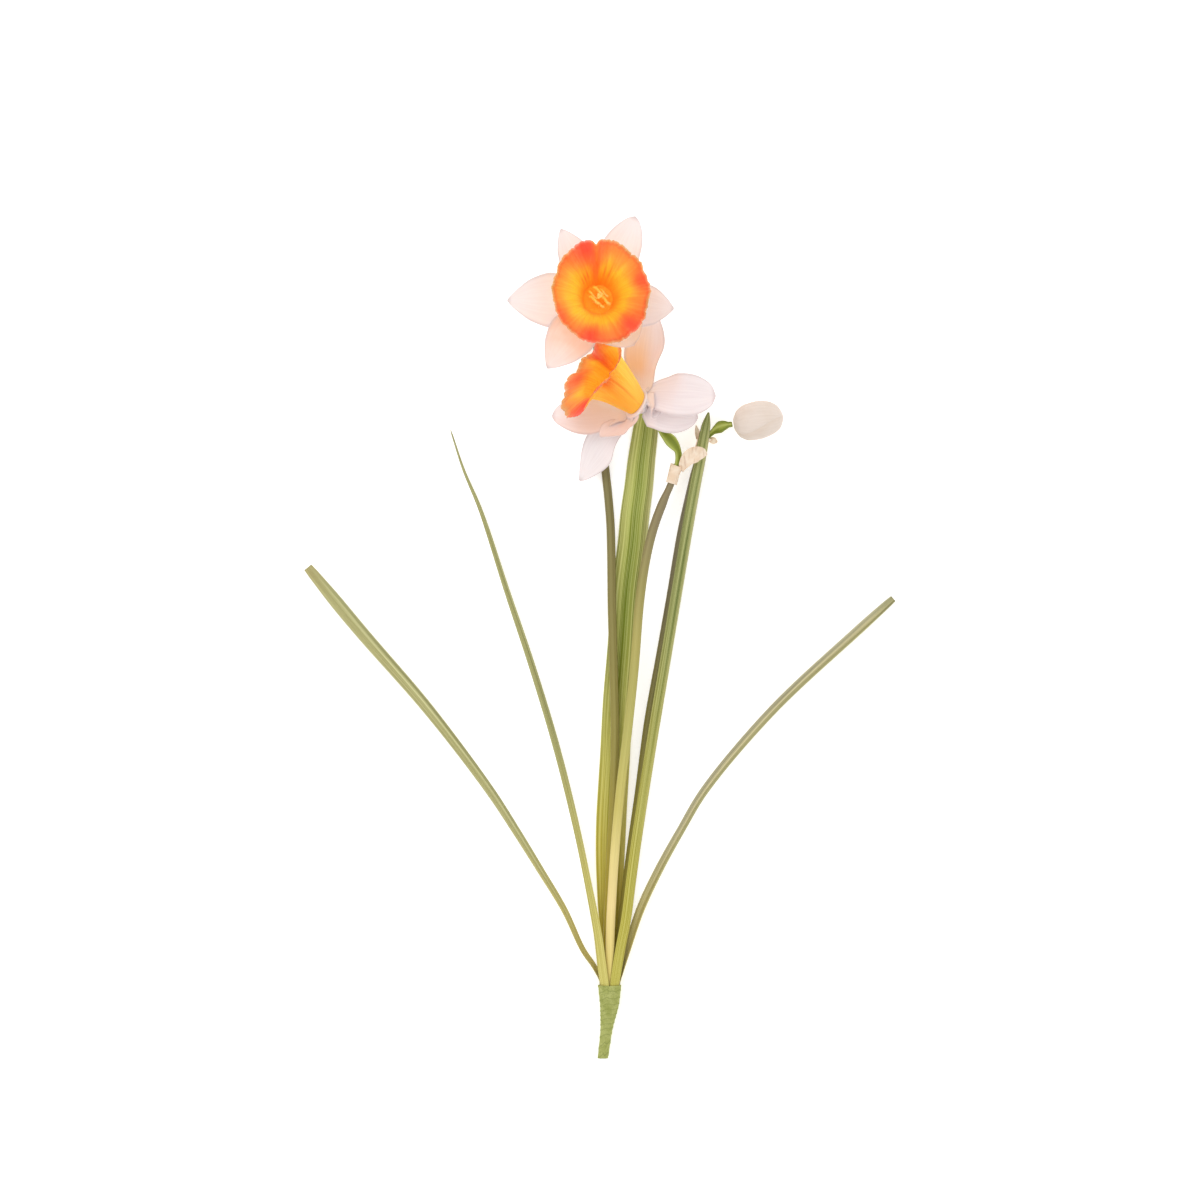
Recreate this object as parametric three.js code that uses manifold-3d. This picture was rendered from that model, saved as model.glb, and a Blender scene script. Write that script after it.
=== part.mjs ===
// An artificial narcissus spray lying on a flat surface: two open blooms, one bud,
// five strap leaves and three wired stems, bound at the foot with florist tape.
// Millimetres, +Z up. +Y runs from the cut foot to the blooms and +X to the right,
// seen from above. The origin is on the surface, under the middle of the spray.

import * as THREE from "three";
import { mergeVertices } from "three/addons/utils/BufferGeometryUtils.js";
import Module from "manifold-3d";

const wasm = await Module();
wasm.setup();

// ---------- driving dimensions ----------

const leafThickness = 0.65;
const petalThickness = 0.7;
const wallThickness = 0.7;
const sheathThickness = 0.6;
const seatGap = 0.3;

const stemRadius = { left: 2.3, middle: 2.45, right: 2.3 };
const stemTopRadius = 1.9;
const stemFootRadius = { mouth: 1.9, inside: 1.6 };

// Tape sleeve: its underside lies on the surface, so each ring is as high as it is wide.
const tapeRings = [
  { x: 5.1, y: -181.5, radius: 6.4 },
  { x: 5.1, y: -190.0, radius: 5.5 },
  { x: 4.6, y: -196.0, radius: 4.7 },
  { x: 3.9, y: -201.5, radius: 3.9 },
  { x: 3.1, y: -208.0, radius: 3.3 },
  { x: 1.5, y: -220.5, radius: 3.0 },
];
const tapeMouth = tapeRings[0];
const tapeWall = 0.6;
const tapeSides = 24;
const insideDepth = 8;
const insideRadius = 5.55;

// The feet of the leaves stand round the stems in the mouth of the tape, as arcs.
const footArc = { radius: 5.1, insideRadius: 4.35, halfAngle: 31 };
const footAngle = { left: 126, right: 54, farLeft: 198, farRight: -18, broad: 270 };

const hubRadius = 8.5;
const coronaDepth = 30;
const coronaPleats = 10;
const coronaSides = 60;
const pleatDepth = 0.012;
const frillHeight = 0.6;
const hubThickness = 1.4;
const tubeRadius = 3.0;

const colours = {
  tape: 0xa5af5f,
  stem: 0x9a9060,
  stemPale: 0xd8c98a,
  leafDark: 0x6b8540,
  leafMid: 0x93a545,
  petal: 0xfae9e0,
  corona: 0xffa82c,
  stamen: 0xf5a532,
  ovary: 0x8fa650,
  spathe: 0xeed7be,
  bud: 0xeadfce,
  core: 0x8a8560,
};

// ---------- small helpers ----------

const up = new THREE.Vector3(0, 0, 1);

function vector(point) {
  return new THREE.Vector3(point[0], point[1], point[2]);
}

function radians(degrees) {
  return THREE.MathUtils.degToRad(degrees);
}

function smooth(from, to, value) {
  return THREE.MathUtils.smoothstep(value, from, to);
}

function curveThrough(points) {
  return new THREE.CatmullRomCurve3(points.map(vector), false, "centripetal");
}

// Eased steps between [place, value] pairs, where a value is a number or a Vector3.
function alongTable(table, place) {
  let i = 0;
  while (i < table.length - 2 && place > table[i + 1][0]) i++;
  const [from, a] = table[i];
  const [to, b] = table[i + 1];
  const part = THREE.MathUtils.clamp((place - from) / (to - from), 0, 1);
  const eased = part * part * (3 - 2 * part);
  if (typeof a === "number") return a + (b - a) * eased;
  return a.clone().lerp(b, eased);
}

function material(colour, roughness = 0.7) {
  return new THREE.MeshStandardMaterial({ color: colour, roughness, metalness: 0 });
}

function geometryFrom(points, index) {
  const geometry = new THREE.BufferGeometry();
  const flat = points.flatMap((point) => [point.x, point.y, point.z]);
  geometry.setAttribute("position", new THREE.Float32BufferAttribute(flat, 3));
  geometry.setIndex(index);
  return geometry;
}

function signedVolume(points, index) {
  let volume = 0;
  for (let i = 0; i < index.length; i += 3) {
    const [a, b, c] = [points[index[i]], points[index[i + 1]], points[index[i + 2]]];
    volume += a.dot(b.clone().cross(c)) / 6;
  }
  return volume;
}

function facedOutward(points, index) {
  if (signedVolume(points, index) < 0) {
    for (let i = 0; i < index.length; i += 3) {
      [index[i], index[i + 1]] = [index[i + 1], index[i]];
    }
  }
  return geometryFrom(points, index);
}

// A closed skin over equal rings of points. A ring runs once round the section, its
// second half being the way back, so front and back are split into like triangles.
function loft(rings) {
  const count = rings[0].length;
  const half = count / 2;
  const index = [];
  for (let r = 0; r + 1 < rings.length; r++) {
    for (let i = 0; i < count; i++) {
      const a = r * count + i;
      const b = r * count + ((i + 1) % count);
      const c = b + count;
      const d = a + count;
      if (i < half) index.push(a, b, d, b, c, d);
      else index.push(a, b, c, a, c, d);
    }
  }
  const last = (rings.length - 1) * count;
  for (let i = 0; i + 1 < half; i++) {
    const far = count - 1 - i;
    index.push(i, far, i + 1, i + 1, far, far - 1);
    index.push(last + i, last + i + 1, last + far, last + i + 1, last + far - 1, last + far);
  }
  return facedOutward(rings.flat(), index);
}

// A closed wall: outer rings one way, inner rings back, joined at both mouths.
function shell(outerRings, innerRings) {
  const rings = [...outerRings, ...[...innerRings].reverse()];
  const count = rings[0].length;
  const index = [];
  for (let r = 0; r < rings.length; r++) {
    const next = (r + 1) % rings.length;
    for (let i = 0; i < count; i++) {
      const a = r * count + i;
      const b = r * count + ((i + 1) % count);
      const c = next * count + ((i + 1) % count);
      const d = next * count + i;
      index.push(a, b, c, a, c, d);
    }
  }
  return facedOutward(rings.flat(), index);
}

function circle(centre, sideways, upward, radius, sides, shape = () => 1) {
  const ring = [];
  for (let i = 0; i < sides; i++) {
    const angle = (i / sides) * 2 * Math.PI;
    const reach = radius * shape(angle);
    const point = centre.clone();
    point.addScaledVector(sideways, Math.cos(angle) * reach);
    point.addScaledVector(upward, Math.sin(angle) * reach);
    ring.push(point);
  }
  return ring;
}

// Frames down a curve that don't spin: each one leans over from the one before.
function framesAlong(curve, steps) {
  const frames = [];
  let sideways = new THREE.Vector3(1, 0, 0);
  for (let i = 0; i <= steps; i++) {
    const along = curve.getTangentAt(i / steps);
    sideways = sideways.clone().addScaledVector(along, -sideways.dot(along));
    if (sideways.length() < 0.1) sideways.crossVectors(along, up);
    sideways.normalize();
    const upward = new THREE.Vector3().crossVectors(along, sideways).normalize();
    frames.push({ centre: curve.getPointAt(i / steps), sideways, upward, along });
  }
  return frames;
}

function tubeRings({ points, radii, steps, sides, shape }) {
  const frames = framesAlong(curveThrough(points), steps);
  return frames.map(({ centre, sideways, upward }, i) => {
    const place = i / steps;
    const section = shape ? (angle) => shape(angle, place) : undefined;
    return circle(centre, sideways, upward, alongTable(radii, place), sides, section);
  });
}

function tube(options) {
  return loft(tubeRings(options));
}

function sleeve({ points, radii, wall, steps, sides }) {
  const inner = radii.map(([place, radius]) => [place, radius - wall]);
  return shell(
    tubeRings({ points, radii, steps, sides }),
    tubeRings({ points, radii: inner, steps, sides }),
  );
}

// A thin blade along a spine. `lift` raises the blade from its spine across its width,
// and `rib` thickens its front face only. The wall is thicker where it slopes, so that
// it keeps its true thickness.
function blade({ points, halfWidth, facing, lift, rib = () => 0, steps, across, thickness }) {
  const curve = curveThrough(points);
  const rings = [];
  for (let i = 0; i <= steps; i++) {
    const place = i / steps;
    const centre = curve.getPointAt(place);
    const along = curve.getTangentAt(place);
    const front = alongTable(facing, place);
    front.addScaledVector(along, -front.dot(along)).normalize();
    const sideways = new THREE.Vector3().crossVectors(along, front).normalize();
    const width = alongTable(halfWidth, place);
    const faceFront = [];
    const faceBack = [];
    for (let j = 0; j < across; j++) {
      const side = (2 * j) / (across - 1) - 1;
      const step = 0.02;
      const slope = (lift(side + step, place, width) - lift(side - step, place, width))
        / (2 * step * width);
      const halfWall = (thickness / 2) * Math.sqrt(1 + slope * slope);
      const middle = centre.clone().addScaledVector(sideways, side * width);
      middle.addScaledVector(front, lift(side, place, width));
      faceFront.push(middle.clone().addScaledVector(front, halfWall + rib(side, place)));
      faceBack.push(middle.clone().addScaledVector(front, -halfWall));
    }
    rings.push([...faceFront, ...faceBack.reverse()]);
  }
  return loft(rings);
}

function solidOf(geometry) {
  const bare = geometry.clone();
  bare.deleteAttribute("normal");
  bare.deleteAttribute("uv");
  const merged = mergeVertices(bare, 1e-4);
  const vertProperties = new Float32Array(merged.attributes.position.array);
  const triVerts = new Uint32Array(merged.index.array);
  return new wasm.Manifold(new wasm.Mesh({ numProp: 3, vertProperties, triVerts }));
}

function fused(geometries) {
  let whole = solidOf(geometries[0]);
  for (const geometry of geometries.slice(1)) whole = whole.add(solidOf(geometry));
  const bodies = whole.decompose().sort((a, b) => b.volume() - a.volume());
  const mesh = bodies[0].getMesh();
  const points = [];
  for (let i = 0; i < mesh.vertProperties.length; i += mesh.numProp) {
    const [x, y, z] = mesh.vertProperties.slice(i, i + 3);
    points.push(new THREE.Vector3(x, y, z));
  }
  return geometryFrom(points, Array.from(mesh.triVerts));
}

const spray = new THREE.Group();

function addPiece(name, geometry, colour, roughness) {
  const mesh = new THREE.Mesh(geometry, material(colour, roughness));
  mesh.name = name;
  spray.add(mesh);
  return mesh;
}

// ---------- tape and core ----------

function tapeSection(ring, inset) {
  const centre = new THREE.Vector3(ring.x, ring.y, ring.radius);
  return circle(centre, new THREE.Vector3(1, 0, 0), up, ring.radius - inset, tapeSides);
}

const tape = shell(
  tapeRings.map((ring) => tapeSection(ring, 0)),
  tapeRings.map((ring) => tapeSection(ring, tapeWall)),
);
addPiece("florist_tape", tape, colours.tape, 0.9);

// The core starts under the ends of the stems and follows the sleeve to the cut.
const coreRings = tapeRings.slice(2).map((ring) => tapeSection(ring, tapeWall + seatGap));
addPiece("stem_core", loft(coreRings), colours.core, 0.8);

// ---------- stems ----------

// Where a stem stands in the mouth of the tape and where it ends inside it.
function stemFoot(angle) {
  const at = (y, z, radius) => {
    const reach = (2 * radius + seatGap) / Math.sqrt(3);
    const x = tapeMouth.x + reach * Math.cos(radians(angle));
    return [x, y, z + reach * Math.sin(radians(angle))];
  };
  return {
    mouth: at(tapeMouth.y, tapeMouth.radius, stemFootRadius.mouth),
    inside: at(tapeMouth.y - insideDepth, insideRadius, stemFootRadius.inside),
  };
}

const stems = [
  {
    name: "stem_left",
    footAngle: 210,
    radius: stemRadius.left,
    colour: colours.stem,
    points: [
      [3.9, -152.5, 5.0], [5.6, -110, 4.8], [7.2, -80, 4.7], [7.9, -50, 4.7], [7.3, -18, 4.7],
      [6.3, 20, 4.7], [6.1, 41, 4.4], [5.6, 62, 3.6], [4.2, 79, 2.9], [2.4, 96, 2.5],
      [0.6, 124, 2.42], [-0.8, 148, 2.42], [-1.7, 158, 3.6], [-2.4, 165.4, 9], [-3.2, 169.2, 18],
    ],
    steps: 34,
  },
  {
    name: "stem_middle",
    footAngle: 90,
    radius: stemRadius.middle,
    colour: colours.stemPale,
    points: [
      [5.4, -153, 9.9], [6.5, -131, 10.4], [8.2, -106, 10.6], [10.8, -78, 10.6], [14.7, -46, 10.4],
      [18.2, -13, 10.2], [21.1, 22, 10.1], [24.4, 44, 10.1], [28.3, 60, 10.3], [33.2, 73.5, 10.6],
      [38.1, 84.8, 11.2], [39.4, 89.6, 11.4],
    ],
    steps: 28,
  },
  {
    name: "stem_right",
    footAngle: 330,
    radius: stemRadius.right,
    colour: colours.stem,
    points: [
      [11.1, -152.6, 4.8], [15.7, -114.5, 4.4], [20.6, -80, 4.2], [25.7, -41.5, 4.2],
      [31.6, -9, 4.2], [37.4, 23.6, 4.2], [43.2, 58, 4.2], [48.7, 82.8, 4.5], [52.6, 99, 4.9],
      [54.5, 106.4, 5.1],
    ],
    steps: 26,
  },
];

for (const { name, footAngle: angle, radius, colour, points, steps } of stems) {
  const foot = stemFoot(angle);
  const radii = [
    [0, stemFootRadius.inside], [0.03, stemFootRadius.mouth], [0.11, radius],
    [0.93, radius], [0.965, stemTopRadius], [1, stemTopRadius],
  ];
  const path = [foot.inside, foot.mouth, ...points];
  addPiece(name, tube({ points: path, radii, steps, sides: 8 }), colour, 0.6);
}

// ---------- leaves ----------

function footPoint(angle, radius, y, z) {
  const turn = radians(angle);
  return [tapeMouth.x + radius * Math.cos(turn), y, z + radius * Math.sin(turn)];
}

function inward(angle) {
  return new THREE.Vector3(-Math.cos(radians(angle)), 0, -Math.sin(radians(angle)));
}

// The foot of a leaf is an arc round the stems. It opens into a shallow keel.
function leafLift(keel, edgeRise, flatMiddle) {
  return (side, place, width) => {
    const chord = side * footArc.radius * Math.sin(radians(footArc.halfAngle));
    const arc = footArc.radius - Math.sqrt(footArc.radius ** 2 - chord * chord);
    const beyond = Math.max(0, (Math.abs(side) - flatMiddle) / (1 - flatMiddle));
    const open = keel * Math.abs(side * width) + edgeRise * beyond * beyond;
    return THREE.MathUtils.lerp(arc, open, smooth(0.05, 0.2, place));
  };
}

const leaves = [
  {
    name: "leaf_far_left",
    foot: footAngle.farLeft,
    colour: colours.leafMid,
    points: [
      [0.3, -179.6, 4.8], [-3.3, -172.3, 4.6], [-9.5, -163.2, 4.2], [-19.3, -142.1, 3.8], [-32, -120.9, 3.4],
      [-45, -99.8, 3.0], [-58.8, -78.6, 2.6], [-90.8, -36.3, 1.9], [-127.4, 6.1, 1.2],
      [-154.8, 39.3, 0.4],
    ],
    halfWidth: [
      [0, 1.9], [0.024, 2.2], [0.06, 2.5], [0.25, 2.4], [0.5, 2.7], [0.7, 3.2], [0.9, 3.5],
      [0.98, 2.8], [1, 2.4],
    ],
    facing: [
      [0, inward(footAngle.farLeft)], [0.15, vector([0.8, 0.25, 0.6])],
      [0.5, vector([0.35, 0.2, 1])], [1, vector([0, 0, 1])],
    ],
    keel: 0.28,
  },
  {
    name: "leaf_left",
    foot: footAngle.left,
    colour: colours.leafMid,
    points: [
      [0.9, -173.8, 10.6], [-1.6, -154.8, 10], [-6.1, -131.1, 9.4], [-12.7, -99.5, 8.6],
      [-23.2, -57.3, 7.4], [-35.9, -15, 6.4], [-50, 27.3, 5.4], [-63.8, 69.6, 4.8],
      [-72.5, 90.8, 4.4], [-79.2, 112, 4],
    ],
    halfWidth: [[0, 1.9], [0.024, 2.8], [0.06, 3.3], [0.2, 3.2], [0.5, 3.6], [0.8, 3.4], [0.97, 1.6], [1, 0.8]],
    facing: [
      [0, inward(footAngle.left)], [0.12, vector([0.75, 0, -0.65])],
      [0.25, vector([0.85, 0.2, -0.6])], [0.6, vector([0.85, 0.2, -0.5])],
      [1, vector([0.9, 0.3, -0.2])],
    ],
    keel: 0.2,
  },
  {
    name: "leaf_right",
    foot: footAngle.right,
    colour: colours.leafDark,
    points: [
      [11, -162.7, 10.2], [14, -146.9, 10.2], [16.7, -125.8, 10.1], [19.8, -103.1, 9.8],
      [26.4, -60.4, 9.5], [36.4, -0.2, 9.5], [44.6, 48.9, 9.6], [50.1, 80.6, 10.2],
      [52.8, 94.8, 10.8], [55.1, 108, 11.2], [57.3, 121, 11.2],
    ],
    halfWidth: [
      [0, 1.9], [0.024, 2.8], [0.06, 3.1], [0.2, 3.1], [0.5, 3.2], [0.93, 3.3], [0.975, 2.7],
      [0.992, 1.4], [1, 0.5],
    ],
    facing: [
      [0, inward(footAngle.right)], [0.15, vector([-0.5, 0, -0.85])],
      [1, vector([-0.4, 0, -0.9])],
    ],
    keel: 0.18,
  },
  {
    name: "leaf_far_right",
    foot: footAngle.farRight,
    colour: colours.leafMid,
    points: [
      [10.4, -178.6, 4.9], [14.8, -163.1, 4.9], [21.7, -142, 4.8], [31.5, -120.8, 4.5], [43.1, -99.7, 4.2],
      [55.8, -78.5, 4], [91.6, -36.2, 3.2], [136.9, 6.1, 1.6], [155.4, 22.8, 0.5],
    ],
    halfWidth: [
      [0, 1.9], [0.024, 2.2], [0.06, 3], [0.2, 3.1], [0.4, 2.6], [0.9, 2.5], [0.98, 2.1], [1, 1.8],
    ],
    facing: [
      [0, inward(footAngle.farRight)], [0.15, vector([-0.7, 0.4, 0.7])],
      [0.5, vector([-0.4, 0.3, 0.85])], [1, vector([0, 0, 1])],
    ],
    keel: 0.22,
  },
];

for (const { name, foot, colour, points, halfWidth, facing, keel } of leaves) {
  const path = [
    footPoint(foot, footArc.insideRadius, tapeMouth.y - insideDepth, insideRadius),
    footPoint(foot, footArc.radius, tapeMouth.y, tapeMouth.radius),
    ...points,
  ];
  const lift = leafLift(keel, 0, 0);
  const shape = { points: path, halfWidth, facing, lift, steps: 24, across: 5 };
  addPiece(name, blade({ ...shape, thickness: leafThickness }), colour, 0.55);
}

// The broad leaf lies flat on the surface: its back is level across the middle third.
const flatZ = leafThickness / 2;
const broadRibs = (side, place) => 0.22 * smooth(0.1, 0.25, place) * Math.cos(1.5 * Math.PI * side) ** 2;
const broadLeaf = blade({
  points: [
    footPoint(footAngle.broad, footArc.insideRadius, tapeMouth.y - insideDepth, insideRadius),
    footPoint(footAngle.broad, footArc.radius, tapeMouth.y, tapeMouth.radius),
    [5.1, -166, 0.95], [5.2, -153, 0.45], [5.3, -145, 0.35], [5.3, -135, flatZ], [5.4, -114, flatZ],
    [6.1, -91.9, flatZ], [7.9, -61.7, flatZ], [9.5, -31, flatZ], [11.7, -4.5, flatZ],
    [14, 27.3, flatZ], [17, 51.1, flatZ], [18.6, 68.1, flatZ], [20.5, 82, flatZ],
    [22, 96.2, flatZ], [24.1, 112.1, flatZ], [26.5, 133, flatZ],
  ],
  halfWidth: [
    [0, 1.9], [0.024, 2.2], [0.06, 2.9], [0.16, 6.6], [0.3, 8], [0.5, 7.9], [0.8, 7.7], [0.93, 6.8],
    [0.98, 4.4], [1, 2],
  ],
  facing: [[0, inward(footAngle.broad)], [1, up.clone()]],
  lift: leafLift(0, 0.8, 0.34),
  rib: broadRibs,
  steps: 26,
  across: 7,
  thickness: leafThickness,
});
addPiece("leaf_broad", broadLeaf, colours.leafMid, 0.55);

// ---------- blooms ----------

// A bloom's own frame: its axis points out of the corona, and `zero` is where the
// angles round the axis start.
function bloomFrame(hub, axis, zero) {
  const z = vector(axis).normalize();
  const x = vector(zero);
  x.addScaledVector(z, -x.dot(z)).normalize();
  const y = new THREE.Vector3().crossVectors(z, x);
  return new THREE.Matrix4().makeBasis(x, y, z).setPosition(vector(hub));
}

// Half width of a tepal from its root to its end, as a part of its greatest: a pointed
// outline and a rounded one, mixed by how blunt the tepal is.
const pointedOutline = [[0.22, 0.84], [0.44, 1], [0.68, 0.8], [0.86, 0.44], [0.96, 0.17], [1, 0.05]];
const roundedOutline = [
  [0, 0.36], [0.22, 0.78], [0.5, 1], [0.7, 0.97], [0.8, 0.87], [0.9, 0.66], [0.96, 0.44], [1, 0.06],
];
const outlinePlaces = [0, 0.1, 0.2, 0.3, 0.4, 0.5, 0.6, 0.7, 0.8, 0.9, 0.95, 1];

function tepal({ points, halfWidth, facing, root, blunt, cup, phase, wave = 0.5 }) {
  const pointed = [[0, root], ...pointedOutline];
  const outline = outlinePlaces.map((place) => {
    const part = THREE.MathUtils.lerp(
      alongTable(pointed, place),
      alongTable(roundedOutline, place),
      blunt,
    );
    return [place, part * halfWidth];
  });
  return blade({
    points,
    halfWidth: outline,
    facing,
    lift: (side, place, width) => {
      const ripple = wave * side * Math.sin(9 * place + phase) * smooth(0.1, 0.5, place);
      const dish = cup * width * side * side * smooth(0.1, 0.45, place);
      return dish - 0.3 * (1 - side * side) + ripple;
    },
    steps: 10,
    across: 5,
    thickness: petalThickness,
  });
}

// The hub is a disc with the perianth tube under it.
function hubDisc(tubeLength) {
  const profile = [
    [0, 0], [hubRadius, 0], [hubRadius, -hubThickness], [tubeRadius + 1, -2.4],
    [tubeRadius, -4], [tubeRadius - 0.6, -tubeLength], [0, -tubeLength],
  ].map(([radius, height]) => new THREE.Vector2(radius, height)).reverse();
  const lathe = new THREE.LatheGeometry(profile, 16);
  lathe.rotateX(Math.PI / 2);
  return lathe;
}

// The corona is a pleated trumpet, open at both ends, with a frilled rim. Its profile and
// lean go up it from the hub, and `mouth` is the radius of its rim by direction in degrees.
function coronaRing(height, inset, { rim, profile, lean, mouth }) {
  const ring = [];
  for (let i = 0; i < coronaSides; i++) {
    const angle = (i / coronaSides) * 2 * Math.PI;
    const pleats = 1 + pleatDepth * height * Math.cos(coronaPleats * angle);
    const spread = alongTable(mouth, THREE.MathUtils.radToDeg(angle)) - rim;
    const reach = rim * alongTable(profile, height) * pleats + spread * height ** 3 - inset;
    const frill = frillHeight * height ** 4 * Math.sin(coronaPleats * angle + 0.8);
    ring.push(new THREE.Vector3(
      alongTable(lean, height) + reach * Math.cos(angle),
      reach * Math.sin(angle),
      seatGap + height * coronaDepth + frill,
    ));
  }
  return ring;
}

function corona(form) {
  const heights = [0, 0.2, 0.45, 0.66, 0.82, 0.93, 1];
  return shell(
    heights.map((height) => coronaRing(height, 0, form)),
    heights.map((height) => coronaRing(height, wallThickness * 1.25, form)),
  );
}

// Six stamens with anthers lying side by side, round a longer style, on a boss that fills
// the throat.
const stamenRadius = 3.4;
const stamenTurn = radians(-27);
const shortStamen = 0.88;
const boss = { top: 5.4, foot: 4.7, height: 5.2, sides: 12 };

function stamenCluster(antherStretch) {
  const stand = new THREE.CylinderGeometry(boss.top, boss.foot, boss.height, boss.sides);
  stand.rotateX(Math.PI / 2);
  stand.translate(0, 0, seatGap + boss.height / 2);
  const pieces = [stand];
  for (let i = 0; i < 6; i++) {
    const size = i % 2 ? shortStamen : 1;
    const turn = radians(60 * i);
    const placed = ([x, y, z]) => new THREE.Vector3(x, y, z)
      .multiplyScalar(size)
      .add(new THREE.Vector3(stamenRadius * Math.cos(turn), stamenRadius * Math.sin(turn), 0))
      .applyAxisAngle(up, stamenTurn)
      .toArray();
    const filament = [[0, 0, 3], [0.1, 0, 7], [0.3, 0, 12.8]].map(placed);
    const anther = [[-2.7, 0.7, 12], [-1.3, 0.8, 12.7], [0, 0, 13], [1.3, -0.8, 12.7], [2.7, -0.5, 12]]
      .map(([x, y, z]) => [x * antherStretch, y, z]);
    pieces.push(tube({ points: filament, radii: [[0, 0.55], [1, 0.5]], steps: 3, sides: 6 }));
    pieces.push(tube({
      points: anther.map(placed),
      radii: [[0, 0.5], [0.2, 0.82], [0.5, 0.7], [0.8, 0.82], [1, 0.5]],
      steps: 6,
      sides: 6,
    }));
  }
  const stigma = [[0, 0.8], [0.8, 0.7], [0.88, 1.3], [1, 1.0]];
  const style = [[0, 0, 3], [0.2, 0, 8], [0.1, 0.2, 14.4]];
  pieces.push(tube({ points: style, radii: stigma, steps: 5, sides: 6 }));
  return fused(pieces);
}

function addBloom(prefix, place, tepals, form) {
  const perianth = fused([hubDisc(form.tubeLength).applyMatrix4(place), ...tepals]);
  addPiece(`${prefix}_perianth`, perianth, colours.petal, 0.85);
  addPiece(`${prefix}_corona`, corona(form).applyMatrix4(place), colours.corona, 0.8);
  addPiece(`${prefix}_stamens`, stamenCluster(form.antherStretch).applyMatrix4(place), colours.stamen, 0.8);
}

// --- the top bloom looks almost straight up ---

const topHub = [-1.6, 176.6, 50];
const topAxis = [0.085, 0.15, 0.985];
const topPlace = bloomFrame(topHub, topAxis, [1, 0, 0]);

// Angle round the hub, length, half width, and how far the tepal sweeps forward.
const topTepals = [
  { at: 116, length: 43, halfWidth: 9.6, sweep: 0, phase: 0, blunt: 0 },
  { at: 66, length: 50, halfWidth: 11, sweep: 2, phase: 1.5, blunt: 0.35 },
  { at: 179, length: 46.5, halfWidth: 14.5, sweep: -4, phase: 3, blunt: 0 },
  { at: -3, length: 40.5, halfWidth: 12.5, sweep: -3, phase: 4, blunt: 0 },
  { at: 234, length: 44, halfWidth: 12.8, sweep: 2, phase: 5.2, blunt: 0 },
  { at: 306, length: 35.5, halfWidth: 14, sweep: 33, phase: 2.2, blunt: 0.4 },
];

function topTepal({ at, length, halfWidth, sweep, phase, blunt }) {
  const turn = radians(at);
  const lean = radians(sweep);
  const local = (reach, rise) => {
    const free = Math.max(0, reach - hubRadius);
    const out = Math.min(reach, hubRadius) + free * Math.cos(lean) - rise * Math.sin(lean);
    const high = free * Math.sin(lean) + rise * Math.cos(lean) - 0.7;
    return new THREE.Vector3(out * Math.cos(turn), out * Math.sin(turn), high)
      .applyMatrix4(topPlace);
  };
  const path = [
    local(5.5, 0), local(hubRadius + 1, -0.3), local(length * 0.7, 0.9), local(length, 0),
  ];
  const front = local(0, 1).sub(local(0, 0));
  return tepal({
    points: path.map((point) => point.toArray()),
    halfWidth,
    facing: [[0, vector(topAxis)], [0.15, vector(topAxis)], [0.4, front], [1, front]],
    root: 0.4,
    blunt,
    cup: 0.16,
    phase,
  });
}

addBloom("bloom_top", topPlace, topTepals.map(topTepal), {
  tubeLength: 9,
  rim: 25.4,
  profile: [[0, 0.26], [0.16, 0.3], [0.36, 0.38], [0.58, 0.48], [0.76, 0.63], [0.9, 0.83], [1, 1]],
  lean: [[0, 0], [1, 0]],
  antherStretch: 1.35,
  mouth: [
    [0, 25], [24, 24.6], [48, 25], [72, 26.2], [92, 26.6], [98, 25.2], [104, 26.6],
    [120, 27], [144, 25.9], [160, 25.5], [180, 25.8], [204, 26.4], [228, 27.6], [252, 28.5],
    [280, 28.8], [306, 28], [324, 26.6], [340, 25.5], [360, 25],
  ],
});

// --- the lower bloom looks to the upper left ---

const lowerHub = [18.9, 125, 21];
const lowerAxis = [-0.77, 0.445, 0.454];
const lowerZero = [0.5, 0.866, 0];
const lowerPlace = bloomFrame(lowerHub, lowerAxis, lowerZero);

// Each tepal leaves the hub at an angle round the axis, bends at a point and ends at a tip.
const lowerTepals = [
  { at: 24, bend: [24.2, 148, 15], tip: [27.4, 175, 9], halfWidth: 13.6,
    facing: [-0.6, 0.1, 0.8], cup: 0.2, phase: 0, blunt: 0.4 },
  { at: 122, bend: [-1, 118.8, 14], tip: [-25.5, 118.8, 14.5], halfWidth: 13,
    facing: [-0.1, 0.5, 0.85], cup: 0.2, phase: 2, blunt: 0.6 },
  { at: 163, bend: [5, 108, 16], tip: [-10.8, 85.1, 0.62], halfWidth: 11.4,
    facing: [-0.5, 0.05, 0.86], cup: 0.12, phase: 4, blunt: 0 },
  { at: 200, bend: [9, 111.2, 25.6], tip: [0.2, 107.2, 33], halfWidth: 8.5,
    facing: [-0.5, 0.35, 0.8], cup: 0.25, phase: 1, blunt: 0.2 },
  { at: 290, bend: [29.5, 120.8, 24.4], tip: [51.5, 117.6, 22], halfWidth: 10.4,
    facing: [0.08, 0.15, 1], cup: 0.08, phase: 3, blunt: 0.6 },
  { at: 325, bend: [40, 129.2, 33.5], tip: [60.5, 128.8, 33], halfWidth: 11.4,
    facing: [0.05, 0.1, 1], cup: 0.1, phase: 5, blunt: 0.9 },
];

function lowerTepal({ at, bend, tip, halfWidth, facing, cup, phase, blunt }) {
  const turn = radians(at);
  const foot = (reach, z) => new THREE.Vector3(reach * Math.cos(turn), reach * Math.sin(turn), z)
    .applyMatrix4(lowerPlace).toArray();
  return tepal({
    points: [foot(5.5, -0.7), foot(9, -1.1), bend, tip],
    halfWidth,
    facing: [
      [0, vector(lowerAxis)], [0.2, vector(lowerAxis)], [0.65, vector(facing)],
      [1, vector(facing)],
    ],
    root: 0.62,
    blunt,
    cup,
    phase,
  });
}

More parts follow.
